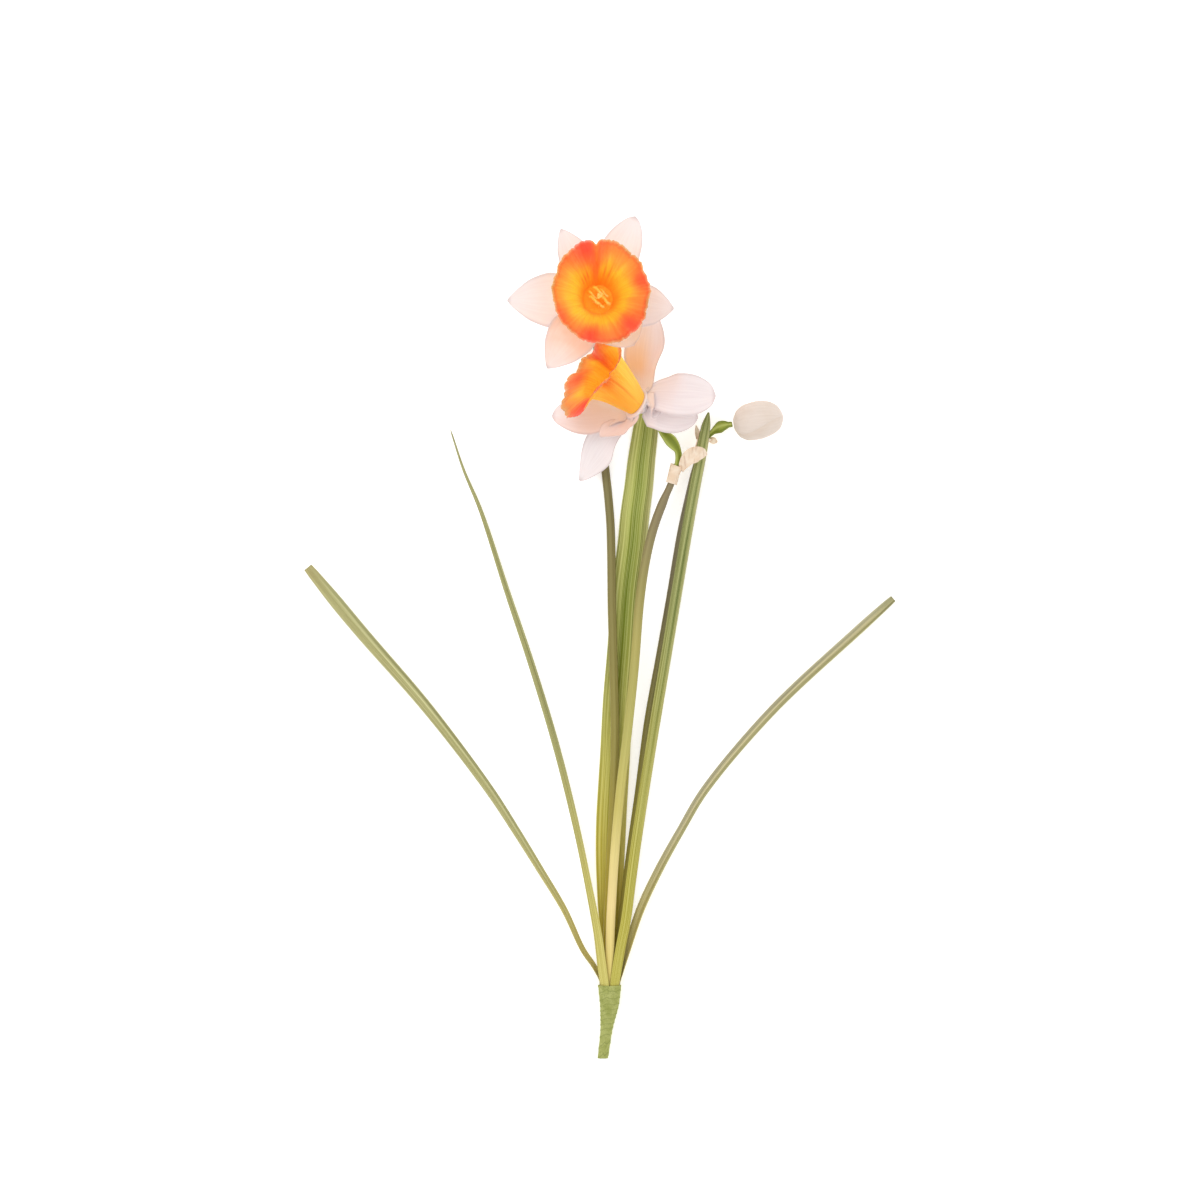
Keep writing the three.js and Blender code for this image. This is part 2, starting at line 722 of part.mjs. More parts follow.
addBloom("bloom_lower", lowerPlace, lowerTepals.map(lowerTepal), {
  tubeLength: 8,
  rim: 24,
  profile: [[0, 0.28], [0.2, 0.36], [0.6, 0.49], [0.84, 0.6], [0.93, 0.75], [1, 1]],
  lean: [[0, 0.6], [0.2, 1.9], [0.6, 4], [0.85, 4.6], [0.94, 2.8], [1, 1.2]],
  antherStretch: 1,
  mouth: [
    [0, 24], [30, 24], [47, 23.2], [56, 20], [78, 21.4], [92, 21.2], [104, 25], [122, 25.6],
    [140, 25.7], [164, 26], [180, 25.8], [196, 24.9], [209, 22.8], [220, 19], [230, 14.8],
    [240, 14.4], [252, 16], [264, 17.8], [274, 19], [280, 18.6], [284, 17.6], [292, 22.6],
    [307, 23], [330, 23.8], [360, 24],
  ],
});

// ---------- ovaries, sheaths and bud ----------

// The ovary swells below the perianth tube and narrows to the pedicel in the sheath.
function ridged(angle) {
  return 1 + 0.06 * Math.cos(3 * angle);
}

addPiece("bloom_top_ovary", tube({
  points: [[-2.55, 174.95, 40.7], [-3.2, 173.9, 35], [-3.6, 172.4, 28], [-3.4, 170.2, 21.4]],
  radii: [[0, 2.3], [0.3, 3.3], [0.6, 3.1], [0.85, stemTopRadius], [1, stemTopRadius]],
  steps: 12,
  sides: 12,
  shape: ridged,
}), colours.ovary, 0.6);

addPiece("bloom_lower_ovary", tube({
  points: [[25.7, 121.1, 17], [27.2, 119.6, 16.2], [32, 111.4, 15.2], [37.4, 105.6, 14.4],
    [41, 100.4, 12.6], [41.2, 94.6, 11.8], [39.8, 91, 11.6]],
  radii: [[0, 1.9], [0.3, 1.5], [0.4, 2.2], [0.54, 3.2], [0.64, 2.6], [0.74, 1.8], [1, 1.8]],
  steps: 18,
  sides: 12,
  shape: ridged,
}), colours.ovary, 0.6);

addPiece("bud_ovary", tube({
  points: [[54.9, 107.6, 5.4], [57.6, 109.4, 5.7], [61.2, 111.9, 7], [64.8, 113.6, 8.8],
    [67.4, 114.3, 9.8], [69.8, 114.6, 10.2]],
  radii: [[0, 1.6], [0.3, 1.4], [0.46, 2.1], [0.64, 3], [0.8, 2.3], [0.9, 1.5], [1, 1.4]],
  steps: 14,
  sides: 12,
  shape: (angle, place) => 1 + 0.16 * Math.cos(3 * angle + 5 * place),
}), colours.ovary, 0.6);

// A papery sheath: a short sleeve round the joint, with pointed flaps fused to it.
function sheath({ points, radius, flaps }) {
  const sleevePiece = sleeve({
    points,
    radii: [[0, radius], [0.7, radius + 0.2], [1, radius + 0.5]],
    wall: sheathThickness,
    steps: 4,
    sides: 12,
  });
  const pieces = flaps.map((flap) => blade({
    points: flap.points,
    halfWidth: flap.halfWidth,
    facing: [[0, vector(flap.facing)], [1, vector(flap.facing)]],
    lift: (side, place, width) => 0.15 * width * side * side + 0.4 * Math.sin(4 * place + side),
    steps: 6,
    across: 3,
    thickness: sheathThickness,
  }));
  return fused([sleevePiece, ...pieces]);
}

addPiece("spathe_top", sheath({
  points: [[-2.7, 167.3, 13], [-3.2, 169.2, 18], [-3.4, 170.1, 21.5]],
  radius: 3.1,
  flaps: [{
    points: [[-5.8, 169.6, 19], [-8.4, 171.4, 26], [-9.4, 173.6, 35]],
    halfWidth: [[0, 1.8], [0.4, 4], [0.8, 2.4], [1, 0.4]],
    facing: [1, 0.1, 0.2],
  }],
}), colours.spathe, 0.9);

addPiece("spathe_lower", sheath({
  points: [[37.6, 83.5, 11.1], [39.3, 89.4, 11.4], [40.6, 93, 11.8]],
  radius: 3.0,
  flaps: [{
    points: [[42.7, 90.1, 13.3], [44.2, 93.5, 15.4], [47.3, 97.2, 16.8], [51.5, 99, 16.8],
      [56.6, 98.6, 15.2]],
    halfWidth: [[0, 1.3], [0.25, 2.9], [0.6, 4.3], [0.85, 3.2], [1, 0.35]],
    facing: [-0.2, -0.2, 1],
  }],
}), colours.spathe, 0.9);

addPiece("spathe_bud", sheath({
  points: [[52.9, 100.9, 4.9], [54.6, 106.6, 5.2], [56.2, 108.9, 5.6]],
  radius: 3.1,
  flaps: [
    {
      points: [[52.2, 107.2, 5.9], [51.4, 110.6, 6.2], [50.9, 114.4, 5.8]],
      halfWidth: [[0, 1.4], [0.5, 1.6], [1, 0.35]],
      facing: [0.4, 0, 1],
    },
    {
      points: [[57.6, 106.9, 5.0], [59.6, 106.3, 5], [62.2, 105.6, 4.4]],
      halfWidth: [[0, 1.4], [0.5, 1.9], [1, 0.35]],
      facing: [0, 0.3, 1],
    },
  ],
}), colours.spathe, 0.9);

// The bud: six tepals still wrapped round each other, so three ridges wind to its point.
const budRadius = 10;
const budRidge = 0.05;
const budRest = budRadius * (1 + budRidge) - 0.04;
addPiece("bud_petals", tube({
  points: [[70.5, 114.9, budRest], [83.4, 116.8, budRest], [96.6, 118.7, budRest]],
  radii: [[0, 3], [0.1, 7.2], [0.28, 9.6], [0.5, budRadius], [0.72, 9], [0.9, 6.4], [1, 2]],
  steps: 13,
  sides: 24,
  shape: (angle, place) => 1 + budRidge * Math.cos(3 * angle + 3.5 * place),
}), colours.bud, 0.85);

export default spray;
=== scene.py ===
# Narcissus flower spray: two open blooms, a bud, five strap leaves and three wired stems,
# bound at the foot with florist tape and lying on a pale table. Metres, +Z up.
import bpy
import math
import numpy as np
from mathutils import Matrix, Vector


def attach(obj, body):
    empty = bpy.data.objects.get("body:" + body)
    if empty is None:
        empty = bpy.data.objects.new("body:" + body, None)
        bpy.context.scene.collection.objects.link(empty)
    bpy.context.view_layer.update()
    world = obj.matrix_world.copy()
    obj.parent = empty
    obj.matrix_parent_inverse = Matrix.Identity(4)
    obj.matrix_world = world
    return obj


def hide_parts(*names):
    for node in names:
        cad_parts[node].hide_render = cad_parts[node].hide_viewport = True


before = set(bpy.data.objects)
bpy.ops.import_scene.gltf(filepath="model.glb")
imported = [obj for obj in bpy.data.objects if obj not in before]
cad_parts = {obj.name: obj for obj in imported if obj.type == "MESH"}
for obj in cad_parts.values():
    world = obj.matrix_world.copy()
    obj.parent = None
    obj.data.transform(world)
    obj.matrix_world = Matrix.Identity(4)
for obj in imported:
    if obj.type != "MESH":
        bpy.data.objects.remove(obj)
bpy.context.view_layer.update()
scene = bpy.context.scene
mm = 0.001

# Sizes of the pieces are in millimetres and become metres as the meshes are made. Those of the
# studio, and the starting values of the shape trees, are in metres.


def paint(red, green, blue):  # a screen colour, 0 to 255, as the shaders want it
    parts = [part / 255 for part in (red, green, blue)]
    return [p / 12.92 if p < 0.04 else ((p + 0.055) / 1.055) ** 2.4 for p in parts] + [1.0]


# Paths and tables


def unit(vectors):
    vectors = np.asarray(vectors, float)
    return vectors / np.linalg.norm(vectors, axis=-1, keepdims=True)


def smoothStep(start, end, value):
    part = np.clip((value - start) / (end - start), 0, 1)
    return part * part * (3 - 2 * part)


def fromTable(table, places):  # a smooth run through [place, value] pairs that never overshoots
    x = np.array([row[0] for row in table], float)
    y = np.array([np.atleast_1d(row[1]) for row in table], float)
    width = np.diff(x)[:, None]
    slope = np.diff(y, axis=0) / width
    lean = np.zeros_like(y)
    lean[0], lean[-1] = slope[0], slope[-1]
    before, after = slope[:-1], slope[1:]
    total = np.where(before * after > 0, before + after, 1)
    lean[1:-1] = np.where(before * after > 0, 2 * before * after / total, 0)
    places = np.clip(np.asarray(places, float), x[0], x[-1])
    i = np.clip(np.searchsorted(x, places, side="right") - 1, 0, len(x) - 2)
    t = ((places - x[i]) / (x[i + 1] - x[i]))[..., None]
    run = (
        y[i] * (1 + 2 * t) * (1 - t) ** 2 + y[i + 1] * t * t * (3 - 2 * t)
        + width[i] * (lean[i] * t * (1 - t) ** 2 - lean[i + 1] * t * t * (1 - t))
    )
    return run[..., 0] if y.shape[1] == 1 else run


def alongPath(points, places):  # centre and direction at each place, 0 to 1, on a smooth path in mm
    knots = np.array(points, float) * mm
    knots = np.vstack([2 * knots[0] - knots[1], knots, 2 * knots[-1] - knots[-2]])
    gaps = np.linalg.norm(np.diff(knots, axis=0), axis=1)[:, None] ** 0.5
    spans = len(knots) - 3

    def at(t):
        s = np.clip(t * spans, 0, spans - 1e-9)
        i = s.astype(int)
        w = (s - i)[:, None]
        a, b, c, d = knots[i], knots[i + 1], knots[i + 2], knots[i + 3]
        g, h, k = gaps[i], gaps[i + 1], gaps[i + 2]
        leave = ((b - a) / g - (c - a) / (g + h) + (c - b) / h) * h
        arrive = ((c - b) / h - (d - b) / (h + k) + (d - c) / k) * h
        bend = 3 * (c - b) - 2 * leave - arrive
        return b + leave * w + bend * w**2 + (2 * (b - c) + leave + arrive) * w**3

    even = np.linspace(0, 1, 601)
    walked = np.concatenate([[0], np.cumsum(np.linalg.norm(np.diff(at(even), axis=0), axis=1))])
    t = np.interp(np.asarray(places) * walked[-1], walked, even)
    return at(t), unit(at(np.minimum(t + 1e-4, 1)) - at(np.maximum(t - 1e-4, 0)))


# Meshes. A part is a dictionary of points, faces and the marks that its points carry:
# "place" is (across, face, along) on a blade, "ring" is (cos, sin, along) round a tube,
# "skin" is 1 on the inside of a wall, and "front" is the way in which a surface is pressed.


def turnsOf(count):  # even turns round a circle
    return np.linspace(0, 2 * math.pi, count, endpoint=False)


def ringMarks(turn, along):
    return np.stack([np.cos(turn), np.sin(turn), along], axis=-1)


def spokes(sideways, upward, turn):  # the ways out from each place on a path
    return sideways[:, None] * np.cos(turn)[..., None] + upward[:, None] * np.sin(turn)[..., None]


def joined(parts):
    start, faces = 0, []
    for part in parts:
        faces += [[corner + start for corner in face] for face in part["faces"]]
        start += len(part["points"])
    whole = {"points": np.vstack([part["points"] for part in parts]), "faces": faces, "marks": {}}
    for mark in sorted({mark for part in parts for mark in part["marks"]}):
        rows = [part["marks"].get(mark, np.zeros((len(part["points"]), 3))) for part in parts]
        whole["marks"][mark] = np.vstack(rows)
    return whole


def gridFaces(ids, closed=False):  # quads between rows of point numbers
    if closed:
        ids = np.hstack([ids, ids[:, :1]])
    corners = (ids[:-1, :-1], ids[:-1, 1:], ids[1:, 1:], ids[1:, :-1])
    return np.stack([c.ravel() for c in corners], axis=1).tolist()


def tubeFaces(ids):  # a tube's sides and its two end fans, whose middles are the last two points
    fans = [[ids.size, b, a] for a, b in zip(ids[0], np.roll(ids[0], -1))]
    fans += [[ids.size + 1, a, b] for a, b in zip(ids[-1], np.roll(ids[-1], -1))]
    return gridFaces(ids, closed=True) + fans


def moved(part, matrix):  # a part made in its own frame, put in its place
    turn = np.array(matrix.to_3x3())
    part["points"] = part["points"] @ turn.T + np.array(matrix.translation)
    if "front" in part["marks"]:
        part["marks"]["front"] = part["marks"]["front"] @ turn.T
    return part


def addObject(name, data):
    thing = bpy.data.objects.new(name, data)
    scene.collection.objects.link(thing)
    return thing


def makeObject(name, part):
    mesh = bpy.data.meshes.new(name)
    mesh.from_pydata(part["points"].tolist(), [], part["faces"])
    for mark, rows in part["marks"].items():
        layer = mesh.attributes.new(mark, "FLOAT_VECTOR", "POINT")
        layer.data.foreach_set("vector", np.ascontiguousarray(rows, np.float32).ravel())
    mesh.shade_smooth()
    return addObject(name, mesh)


def runNodes(thing, tree, values):  # adds a Geometry Nodes modifier and sets its named inputs
    modifier = thing.modifiers.new(tree.name, "NODES")
    modifier.node_group = tree
    for socket in tree.interface.items_tree:
        if socket.item_type == "SOCKET" and socket.in_out == "INPUT" and socket.name in values:
            modifier[socket.identifier] = values[socket.name]


def settle(thing, nodes, matrix=None):  # plain mesh, in its place, handed to the frame
    thing.update_tag()
    ready = thing.evaluated_get(bpy.context.evaluated_depsgraph_get())
    mesh = bpy.data.meshes.new_from_object(ready)
    name = thing.name
    bpy.data.objects.remove(thing)
    if matrix:
        mesh.transform(matrix)
    mesh.name = name
    mesh.shade_smooth()
    piece = addObject(name, mesh)
    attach(piece, "root")
    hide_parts(*nodes)
    print(f"{name}: {len(mesh.polygons)} faces")


# A thin closed blade along a path: round edges, one thickness, its faces meeting at the rim.
def bladePart(points, halfWidth, facing, lift, thickness, steps, columns, rib=None):
    place = 1 - (1 - np.linspace(0, 1, steps + 1)) ** 1.25
    side = np.sin(np.linspace(-math.pi / 2, math.pi / 2, columns))
    centre, along = alongPath(points, place)
    front = fromTable(facing, place)
    front = unit(front - along * np.sum(front * along, axis=1, keepdims=True))
    sideways = unit(np.cross(along, front))
    width = fromTable(halfWidth, place)
    across, down = np.meshgrid(side, place)
    rise = lift(across, down, width[:, None]) * mm
    middle = centre[:, None] + sideways[:, None] * (across * width[:, None] * mm)[..., None]
    middle = middle + front[:, None] * rise[..., None]
    normal = unit(np.cross(np.gradient(middle, axis=1), np.gradient(middle, axis=0)))
    fullness = np.sqrt(1 - across**8) * np.clip(np.minimum(down, 1 - down) * steps / 1.5, 0, 1)
    half = thickness / 2 * mm * fullness
    over = half + (rib(across, down) * mm * fullness if rib else 0)
    faceFront = middle + normal * over[..., None]
    faceBack = middle - normal * half[..., None]
    ids = np.arange(across.size).reshape(across.shape)
    back = ids.copy()
    back[1:-1, 1:-1] = across.size + np.arange((steps - 1) * (columns - 2)).reshape(steps - 1, -1)
    inner = (slice(1, -1), slice(1, -1))
    faceMark = np.ones_like(across)
    faceMark[[0, -1]] = 0
    faceMark[:, [0, -1]] = 0
    rows = [np.stack([across, faceMark, down], axis=-1).reshape(-1, 3)]
    rows.append(np.stack([across[inner], -faceMark[inner], down[inner]], axis=-1).reshape(-1, 3))
    ways = np.broadcast_to(front[:, None], middle.shape)
    return {
        "points": np.vstack([faceFront.reshape(-1, 3), faceBack[inner].reshape(-1, 3)]),
        "faces": gridFaces(ids) + gridFaces(back[:, ::-1]),
        "marks": {
            "place": np.vstack(rows),
            "front": np.vstack([ways.reshape(-1, 3), ways[inner].reshape(-1, 3)]),
        },
    }


def framesAlong(points, places):  # frames down a path that don't spin
    centre, along = alongPath(points, places)
    sideways = np.array([1.0, 0.0, 0.0])
    across = []
    for way in along:
        sideways = sideways - way * sideways.dot(way)
        if np.linalg.norm(sideways) < 0.1:
            sideways = np.cross(way, [0, 0, 1])
        sideways = unit(sideways)
        across.append(sideways)
    across = np.array(across)
    return centre, along, across, unit(np.cross(along, across))


# A closed round body along a path. Its ends are drawn in over a rounding, in mm.
def tubePart(points, radii, steps, sides, shape=None, rounding=0.4):
    place = 0.5 - 0.5 * np.cos(np.linspace(0, math.pi, steps + 1))
    centre, along, across, upward = framesAlong(points, place)
    turn, down = np.meshgrid(turnsOf(sides), place)
    reach = fromTable(radii, place)[:, None] * (shape(turn, down) if shape else 1)
    length = np.linalg.norm(np.diff(centre, axis=0), axis=1).sum() / mm
    fromEnd = np.clip(np.minimum(down, 1 - down) * length / rounding, 0.0, 1)
    reach = np.maximum(reach - rounding * (1 - np.sqrt(1 - (1 - fromEnd) ** 2)), 0.02)
    outward = spokes(across, upward, turn)
    points = centre[:, None] + outward * (reach * mm)[..., None]
    return {
        "points": np.vstack([points.reshape(-1, 3), centre[:1], centre[-1:]]),
        "faces": tubeFaces(np.arange(turn.size).reshape(turn.shape)),
        "marks": {
            "ring": np.vstack([ringMarks(turn, down).reshape(-1, 3), [0, 0, 0], [0, 0, 1]]),
            "front": np.vstack([outward.reshape(-1, 3), -along[:1], along[-1:]]),
        },
    }


# A closed wall from rings of outer and inner points, open at both ends, with round rims.
def wallPart(outer, inner, heights, outward):
    count = outer.shape[1]
    turn, along = np.meshgrid(turnsOf(count), np.concatenate([heights, heights[::-1]]))
    ids = np.arange(turn.size).reshape(turn.shape)
    inside = np.repeat([0.0] * len(heights) + [1.0] * len(heights), count)[:, None]
    return {
        "points": np.concatenate([outer, inner[::-1]]).reshape(-1, 3),
        "faces": gridFaces(np.vstack([ids, ids[:1]]), closed=True),
        "marks": {
            "ring": ringMarks(turn, along).reshape(-1, 3),
            "skin": inside * [1.0, 0, 0],
            "front": np.concatenate([outward, outward[::-1]]).reshape(-1, 3),
        },
    }


# Node trees


class Value:  # a node's output, which adds and multiplies as a number or a vector does
    def __init__(self, socket):
        self.socket, self.tree = socket, socket.id_data


def isVector(value):
    return isinstance(value, tuple) or isinstance(value, Value) and value.socket.type == "VECTOR"


def treeOf(values):
    return next(value.tree for value in values if isinstance(value, Value))


def feed(node, links):  # links a node's inputs to values, or sets them
    for key, value in links.items():
        if isinstance(value, Value):
            node.id_data.links.new(value.socket, node.inputs[key])
        else:
            node.inputs[key].default_value = value
    return node


def grow(tree, kind, links=None, **settings):
    made = tree.nodes.new(kind)
    for key, value in settings.items():
        setattr(made, key, value)
    return feed(made, links or {})


def outputOf(tree, kind, links=None, key=0, **settings):
    return Value(grow(tree, kind, links, **settings).outputs[key])


def calc(operation, first, *rest):  # sums on numbers, or on vectors where the first value is one
    tree = treeOf((first, *rest))
    if not isVector(first):
        return outputOf(tree, "ShaderNodeMath", dict(enumerate((first, *rest))), operation=operation)
    if not isVector(rest[0]):
        return outputOf(tree, "ShaderNodeVectorMath", {0: first, 3: rest[0]}, operation="SCALE")
    key = "Value" if operation == "DOT_PRODUCT" else "Vector"
    return outputOf(tree, "ShaderNodeVectorMath", {0: first, 1: rest[0]}, key, operation=operation)


# +, -, *, / and ** between values grow the node that works them out
for sign, work in (("add", "ADD"), ("sub", "SUBTRACT"), ("mul", "MULTIPLY"),
                   ("truediv", "DIVIDE"), ("pow", "POWER")):
    setattr(Value, f"__{sign}__", lambda this, other, work=work: calc(work, this, other))
    setattr(Value, f"__r{sign}__", lambda this, other, work=work: calc(work, other, this))


def between(value, start, end, low=0.0, high=1.0):  # an eased step from low to high
    links = {0: value, 1: start, 2: end, 3: low, 4: high}
    return outputOf(value.tree, "ShaderNodeMapRange", links, interpolation_type="SMOOTHSTEP")


def vectorOf(*values):
    return outputOf(treeOf(values), "ShaderNodeCombineXYZ", dict(enumerate(values)))


def split(vector):
    return [Value(part) for part in grow(vector.tree, "ShaderNodeSeparateXYZ", {0: vector}).outputs]


def noiseOf(vector, scale, detail=2.0, seed=0.0, roughness=0.5):
    links = {"Vector": vector, "W": seed, "Scale": scale, "Detail": detail, "Roughness": roughness}
    return outputOf(vector.tree, "ShaderNodeTexNoise", links, noise_dimensions="4D")


socketTypes = {float: "NodeSocketFloat", int: "NodeSocketInt", tuple: "NodeSocketVector"}


def newTree(name, kind, inputs, outputs):  # an input's type is its value's, or the one it names
    tree = bpy.data.node_groups.new(name, kind)
    for label, value in inputs.items():
        named = isinstance(value, str)
        socketType = value if named else socketTypes[type(value)]
        socket = tree.interface.new_socket(label, in_out="INPUT", socket_type=socketType)
        if not named:
            socket.default_value = value
    for label, socketType in outputs.items():
        tree.interface.new_socket(label, in_out="OUTPUT", socket_type=socketType)
    given = {socket.name: Value(socket) for socket in grow(tree, "NodeGroupInput").outputs}
    return tree, given, grow(tree, "NodeGroupOutput")


def newShape(name, inputs):
    inputs = {"Geometry": "NodeSocketGeometry", **inputs, "Material": "NodeSocketMaterial"}
    return newTree(name, "GeometryNodeTree", inputs, {"Geometry": "NodeSocketGeometry"})


def endShape(given, out, shape, offset=None):  # every shape tree ends in the same nodes
    tree = shape.tree
    if offset:
        shape = outputOf(tree, "GeometryNodeSetPosition", {"Geometry": shape, "Offset": offset})
    real = outputOf(tree, "GeometryNodeRealizeInstances", {"Geometry": shape})
    links = {"Geometry": real, "Material": given["Material"]}
    feed(out, {0: outputOf(tree, "GeometryNodeSetMaterial", links)})
    return tree


def pointMark(tree, name):
    links = {"Name": name}
    return outputOf(tree, "GeometryNodeInputNamedAttribute", links, data_type="FLOAT_VECTOR")


# Lines pressed down the length of a blade, like the veins of a leaf or of a fabric petal.
def pressedLinesTree():
    tree, given, out = newShape("pressedLines", {
        "Lines": 7.0, "Depth": 0.0001, "Sharpness": 1.0, "Waver": 0.05, "Seed": 1.0,
    })
    place = pointMark(tree, "place")
    across, _, along = split(place)
    drift = (noiseOf(place * (1.2, 0, 5), 1.0, 1.0, given["Seed"]) - 0.5) * given["Waver"]
    wave = calc("ABSOLUTE", calc("COSINE", (across + drift) * given["Lines"] * (math.pi / 2)))
    ends = between(along, 0.06, 0.2) * between(along, 0.9, 1, 1, 0)
    edges = between(calc("ABSOLUTE", across), 0.8, 1, 1, 0)
    depth = wave ** given["Sharpness"] * given["Depth"] * (ends * edges)
    return endShape(given, out, given["Geometry"], pointMark(tree, "front") * depth)


def kept(curve, name, kind, value):  # a curve that keeps a value on its points, and that value
    node = grow(curve.tree, "GeometryNodeCaptureAttribute", {"Geometry": curve}, domain="POINT")
    node.capture_items.new(kind, name)
    feed(node, {name: value})
    return Value(node.outputs["Geometry"]), Value(node.outputs[name])


# A round stem swept along a curve, with shallow flutes down its length.
def roundStemTree():
    tree, given, out = newShape("roundStem", {
        "Sides": 40, "Flutes": 7.0, "Flute Depth": 0.0001, "Twist": 1.0,
    })
    factor = outputOf(tree, "GeometryNodeSplineParameter", key="Factor")
    spine, along = kept(given["Geometry"], "along", "FLOAT", factor)
    links = {"Resolution": given["Sides"], "Radius": 1.0}
    hoop = outputOf(tree, "GeometryNodeCurvePrimitiveCircle", links, "Curve")
    section, place = kept(hoop, "round", "VECTOR", outputOf(tree, "GeometryNodeInputPosition"))
    cos, sin, _ = split(place)
    body = outputOf(tree, "GeometryNodeCurveToMesh", {
        "Curve": spine, "Profile Curve": section, "Fill Caps": True,
        "Scale": outputOf(tree, "GeometryNodeInputRadius"),
    })
    named = outputOf(tree, "GeometryNodeStoreNamedAttribute", {
        "Geometry": body, "Name": "ring", "Value": vectorOf(cos, sin, along),
    }, data_type="FLOAT_VECTOR", domain="POINT")
    wave = calc("COSINE", calc("ARCTAN2", sin, cos) * given["Flutes"] + along * given["Twist"])
    depth = (wave - 1) * given["Flute Depth"]
    return endShape(given, out, named, outputOf(tree, "GeometryNodeInputNormal") * depth)


# Stamens set round a ring, every second one shorter, each turned and leaned a little by chance.
def stamenRingTree():
    tree, given, out = newShape("stamenRing", {
        "Count": 6, "Radius": 0.002, "Short": 0.12, "Turn": 0.0, "Splay": 1.0, "Loose": 0.2, "Seed": 4,
    })
    links = {"Vertices": given["Count"], "Radius": given["Radius"]}
    circle = outputOf(tree, "GeometryNodeMeshCircle", links)
    index = outputOf(tree, "GeometryNodeInputIndex")
    loose = outputOf(tree, "FunctionNodeRandomValue", {
        "ID": index, "Seed": given["Seed"], "Min": (-0.5, -0.5, -1.4), "Max": (0.5, 0.5, 1.4),
    }, data_type="FLOAT_VECTOR")
    spread = index / given["Count"] * (2 * math.pi) * given["Splay"]
    euler = vectorOf(0, 0, spread) + loose * given["Loose"]
    size = 1 - calc("MODULO", index, 2) * given["Short"]
    rotation = outputOf(tree, "FunctionNodeEulerToRotation", {0: euler})
    placed = outputOf(tree, "GeometryNodeInstanceOnPoints", {
        "Points": circle, "Instance": given["Geometry"], "Rotation": rotation,
        "Scale": vectorOf(size, size, size),
    })
    turn = outputOf(tree, "FunctionNodeEulerToRotation", {0: vectorOf(0, 0, given["Turn"])})
    turned = outputOf(tree, "GeometryNodeTransform", {"Geometry": placed, "Rotation": turn})
    return endShape(given, out, turned)


def wraps(ring, turns):  # how many times tape has gone round at each point
    cos, sin, along = split(ring)
    return along * turns + calc("ARCTAN2", sin, cos) / (2 * math.pi)


# Tape wound round a sleeve: each turn's edge stands a little proud of the turn below.
def woundTapeTree():
    tree, given, out = newShape("woundTape", {
        "Turns": 9.0, "Step": 0.0002, "Crinkle": 0.0001, "Seed": 2.0,
    })
    ring = pointMark(tree, "ring")
    wound = wraps(ring, given["Turns"]) + noiseOf(ring, 1.6, 1.0, given["Seed"]) * 0.5
    crepe = noiseOf(ring * (9, 9, 60), 1.0, 2.0, given["Seed"])
    depth = (calc("FRACT", wound) ** 3.0 - 1) * given["Step"] + (crepe - 1) * given["Crinkle"]
    return endShape(given, out, given["Geometry"], pointMark(tree, "front") * depth)


# The trumpet's edge cut in small scallops, and fine pleats that fade towards the throat.
def frilledRimTree():
    tree, given, out = newShape("frilledRim", {
        "Scallops": 36.0, "Scallop Depth": 0.0012, "Pleats": 48.0, "Pleat Depth": 0.0002,
        "Waver": 1.0, "Axis": (0, 0, 1), "Seed": 3.0,
    })
    cos, sin, height = split(pointMark(tree, "ring"))
    swing = (noiseOf(vectorOf(cos, sin, 0), 2.6, 2.0, given["Seed"]) - 0.5) * given["Waver"]
    turn = calc("ARCTAN2", sin, cos) + swing
    lobe = calc("ABSOLUTE", calc("SINE", turn * (given["Scallops"] * 0.5))) ** 0.6 - 1
    reach = lobe * given["Scallop Depth"] * between(height, 0.88, 1)
    fade = between(height, 0.25, 0.95) * given["Pleat Depth"]
    ruck = calc("COSINE", turn * given["Pleats"]) * fade
    offset = given["Axis"] * reach + pointMark(tree, "front") * (ruck + reach)
    return endShape(given, out, given["Geometry"], offset)


# Thin paper that has dried and crumpled.
def crumpledTree():
    tree, given, out = newShape("crumpled", {"Size": 0.002, "Depth": 0.0003, "Seed": 5.0})
    position = outputOf(tree, "GeometryNodeInputPosition")
    bump = noiseOf(position, 1 / given["Size"], 3.0, given["Seed"])
    depth = (calc("ABSOLUTE", bump - 0.5) - 0.12) * 5 * given["Depth"]
    return endShape(given, out, given["Geometry"], pointMark(tree, "front") * depth)


pressedLines = pressedLinesTree()
roundStem = roundStemTree()
stamenRing = stamenRingTree()
woundTape = woundTapeTree()
frilledRim = frilledRimTree()
crumpled = crumpledTree()
print("shape trees built")

# Shader groups, each of which puts out masks, and the bricks of a material


def newEffect(name, inputs, masks):
    return newTree(name, "ShaderNodeTree", inputs, {mask: "NodeSocketFloat" for mask in masks})


def use(group, links):
    node = grow(treeOf(links.values()), "ShaderNodeGroup", node_tree=group)
    return {socket.name: Value(socket) for socket in feed(node, links).outputs}


# Streaks that run down a blade or a stem: broad ones and fine ones.
def lengthStreaksEffect():
    tree, given, out = newEffect("lengthStreaks", {
        "Vector": (0, 0, 0), "Lines": 20.0, "Stretch": 3.0, "Seed": 0.0,
    }, ("Broad", "Fine"))
    place = given["Vector"] * vectorOf(given["Lines"], given["Lines"], given["Stretch"])
    broad = noiseOf(place, 0.25, 2.0, given["Seed"])
    fine = noiseOf(place, 1.0, 3.0, given["Seed"], 0.6)
    feed(out, {"Broad": between(broad, 0.3, 0.7), "Fine": between(fine, 0.3, 0.7)})
    return tree


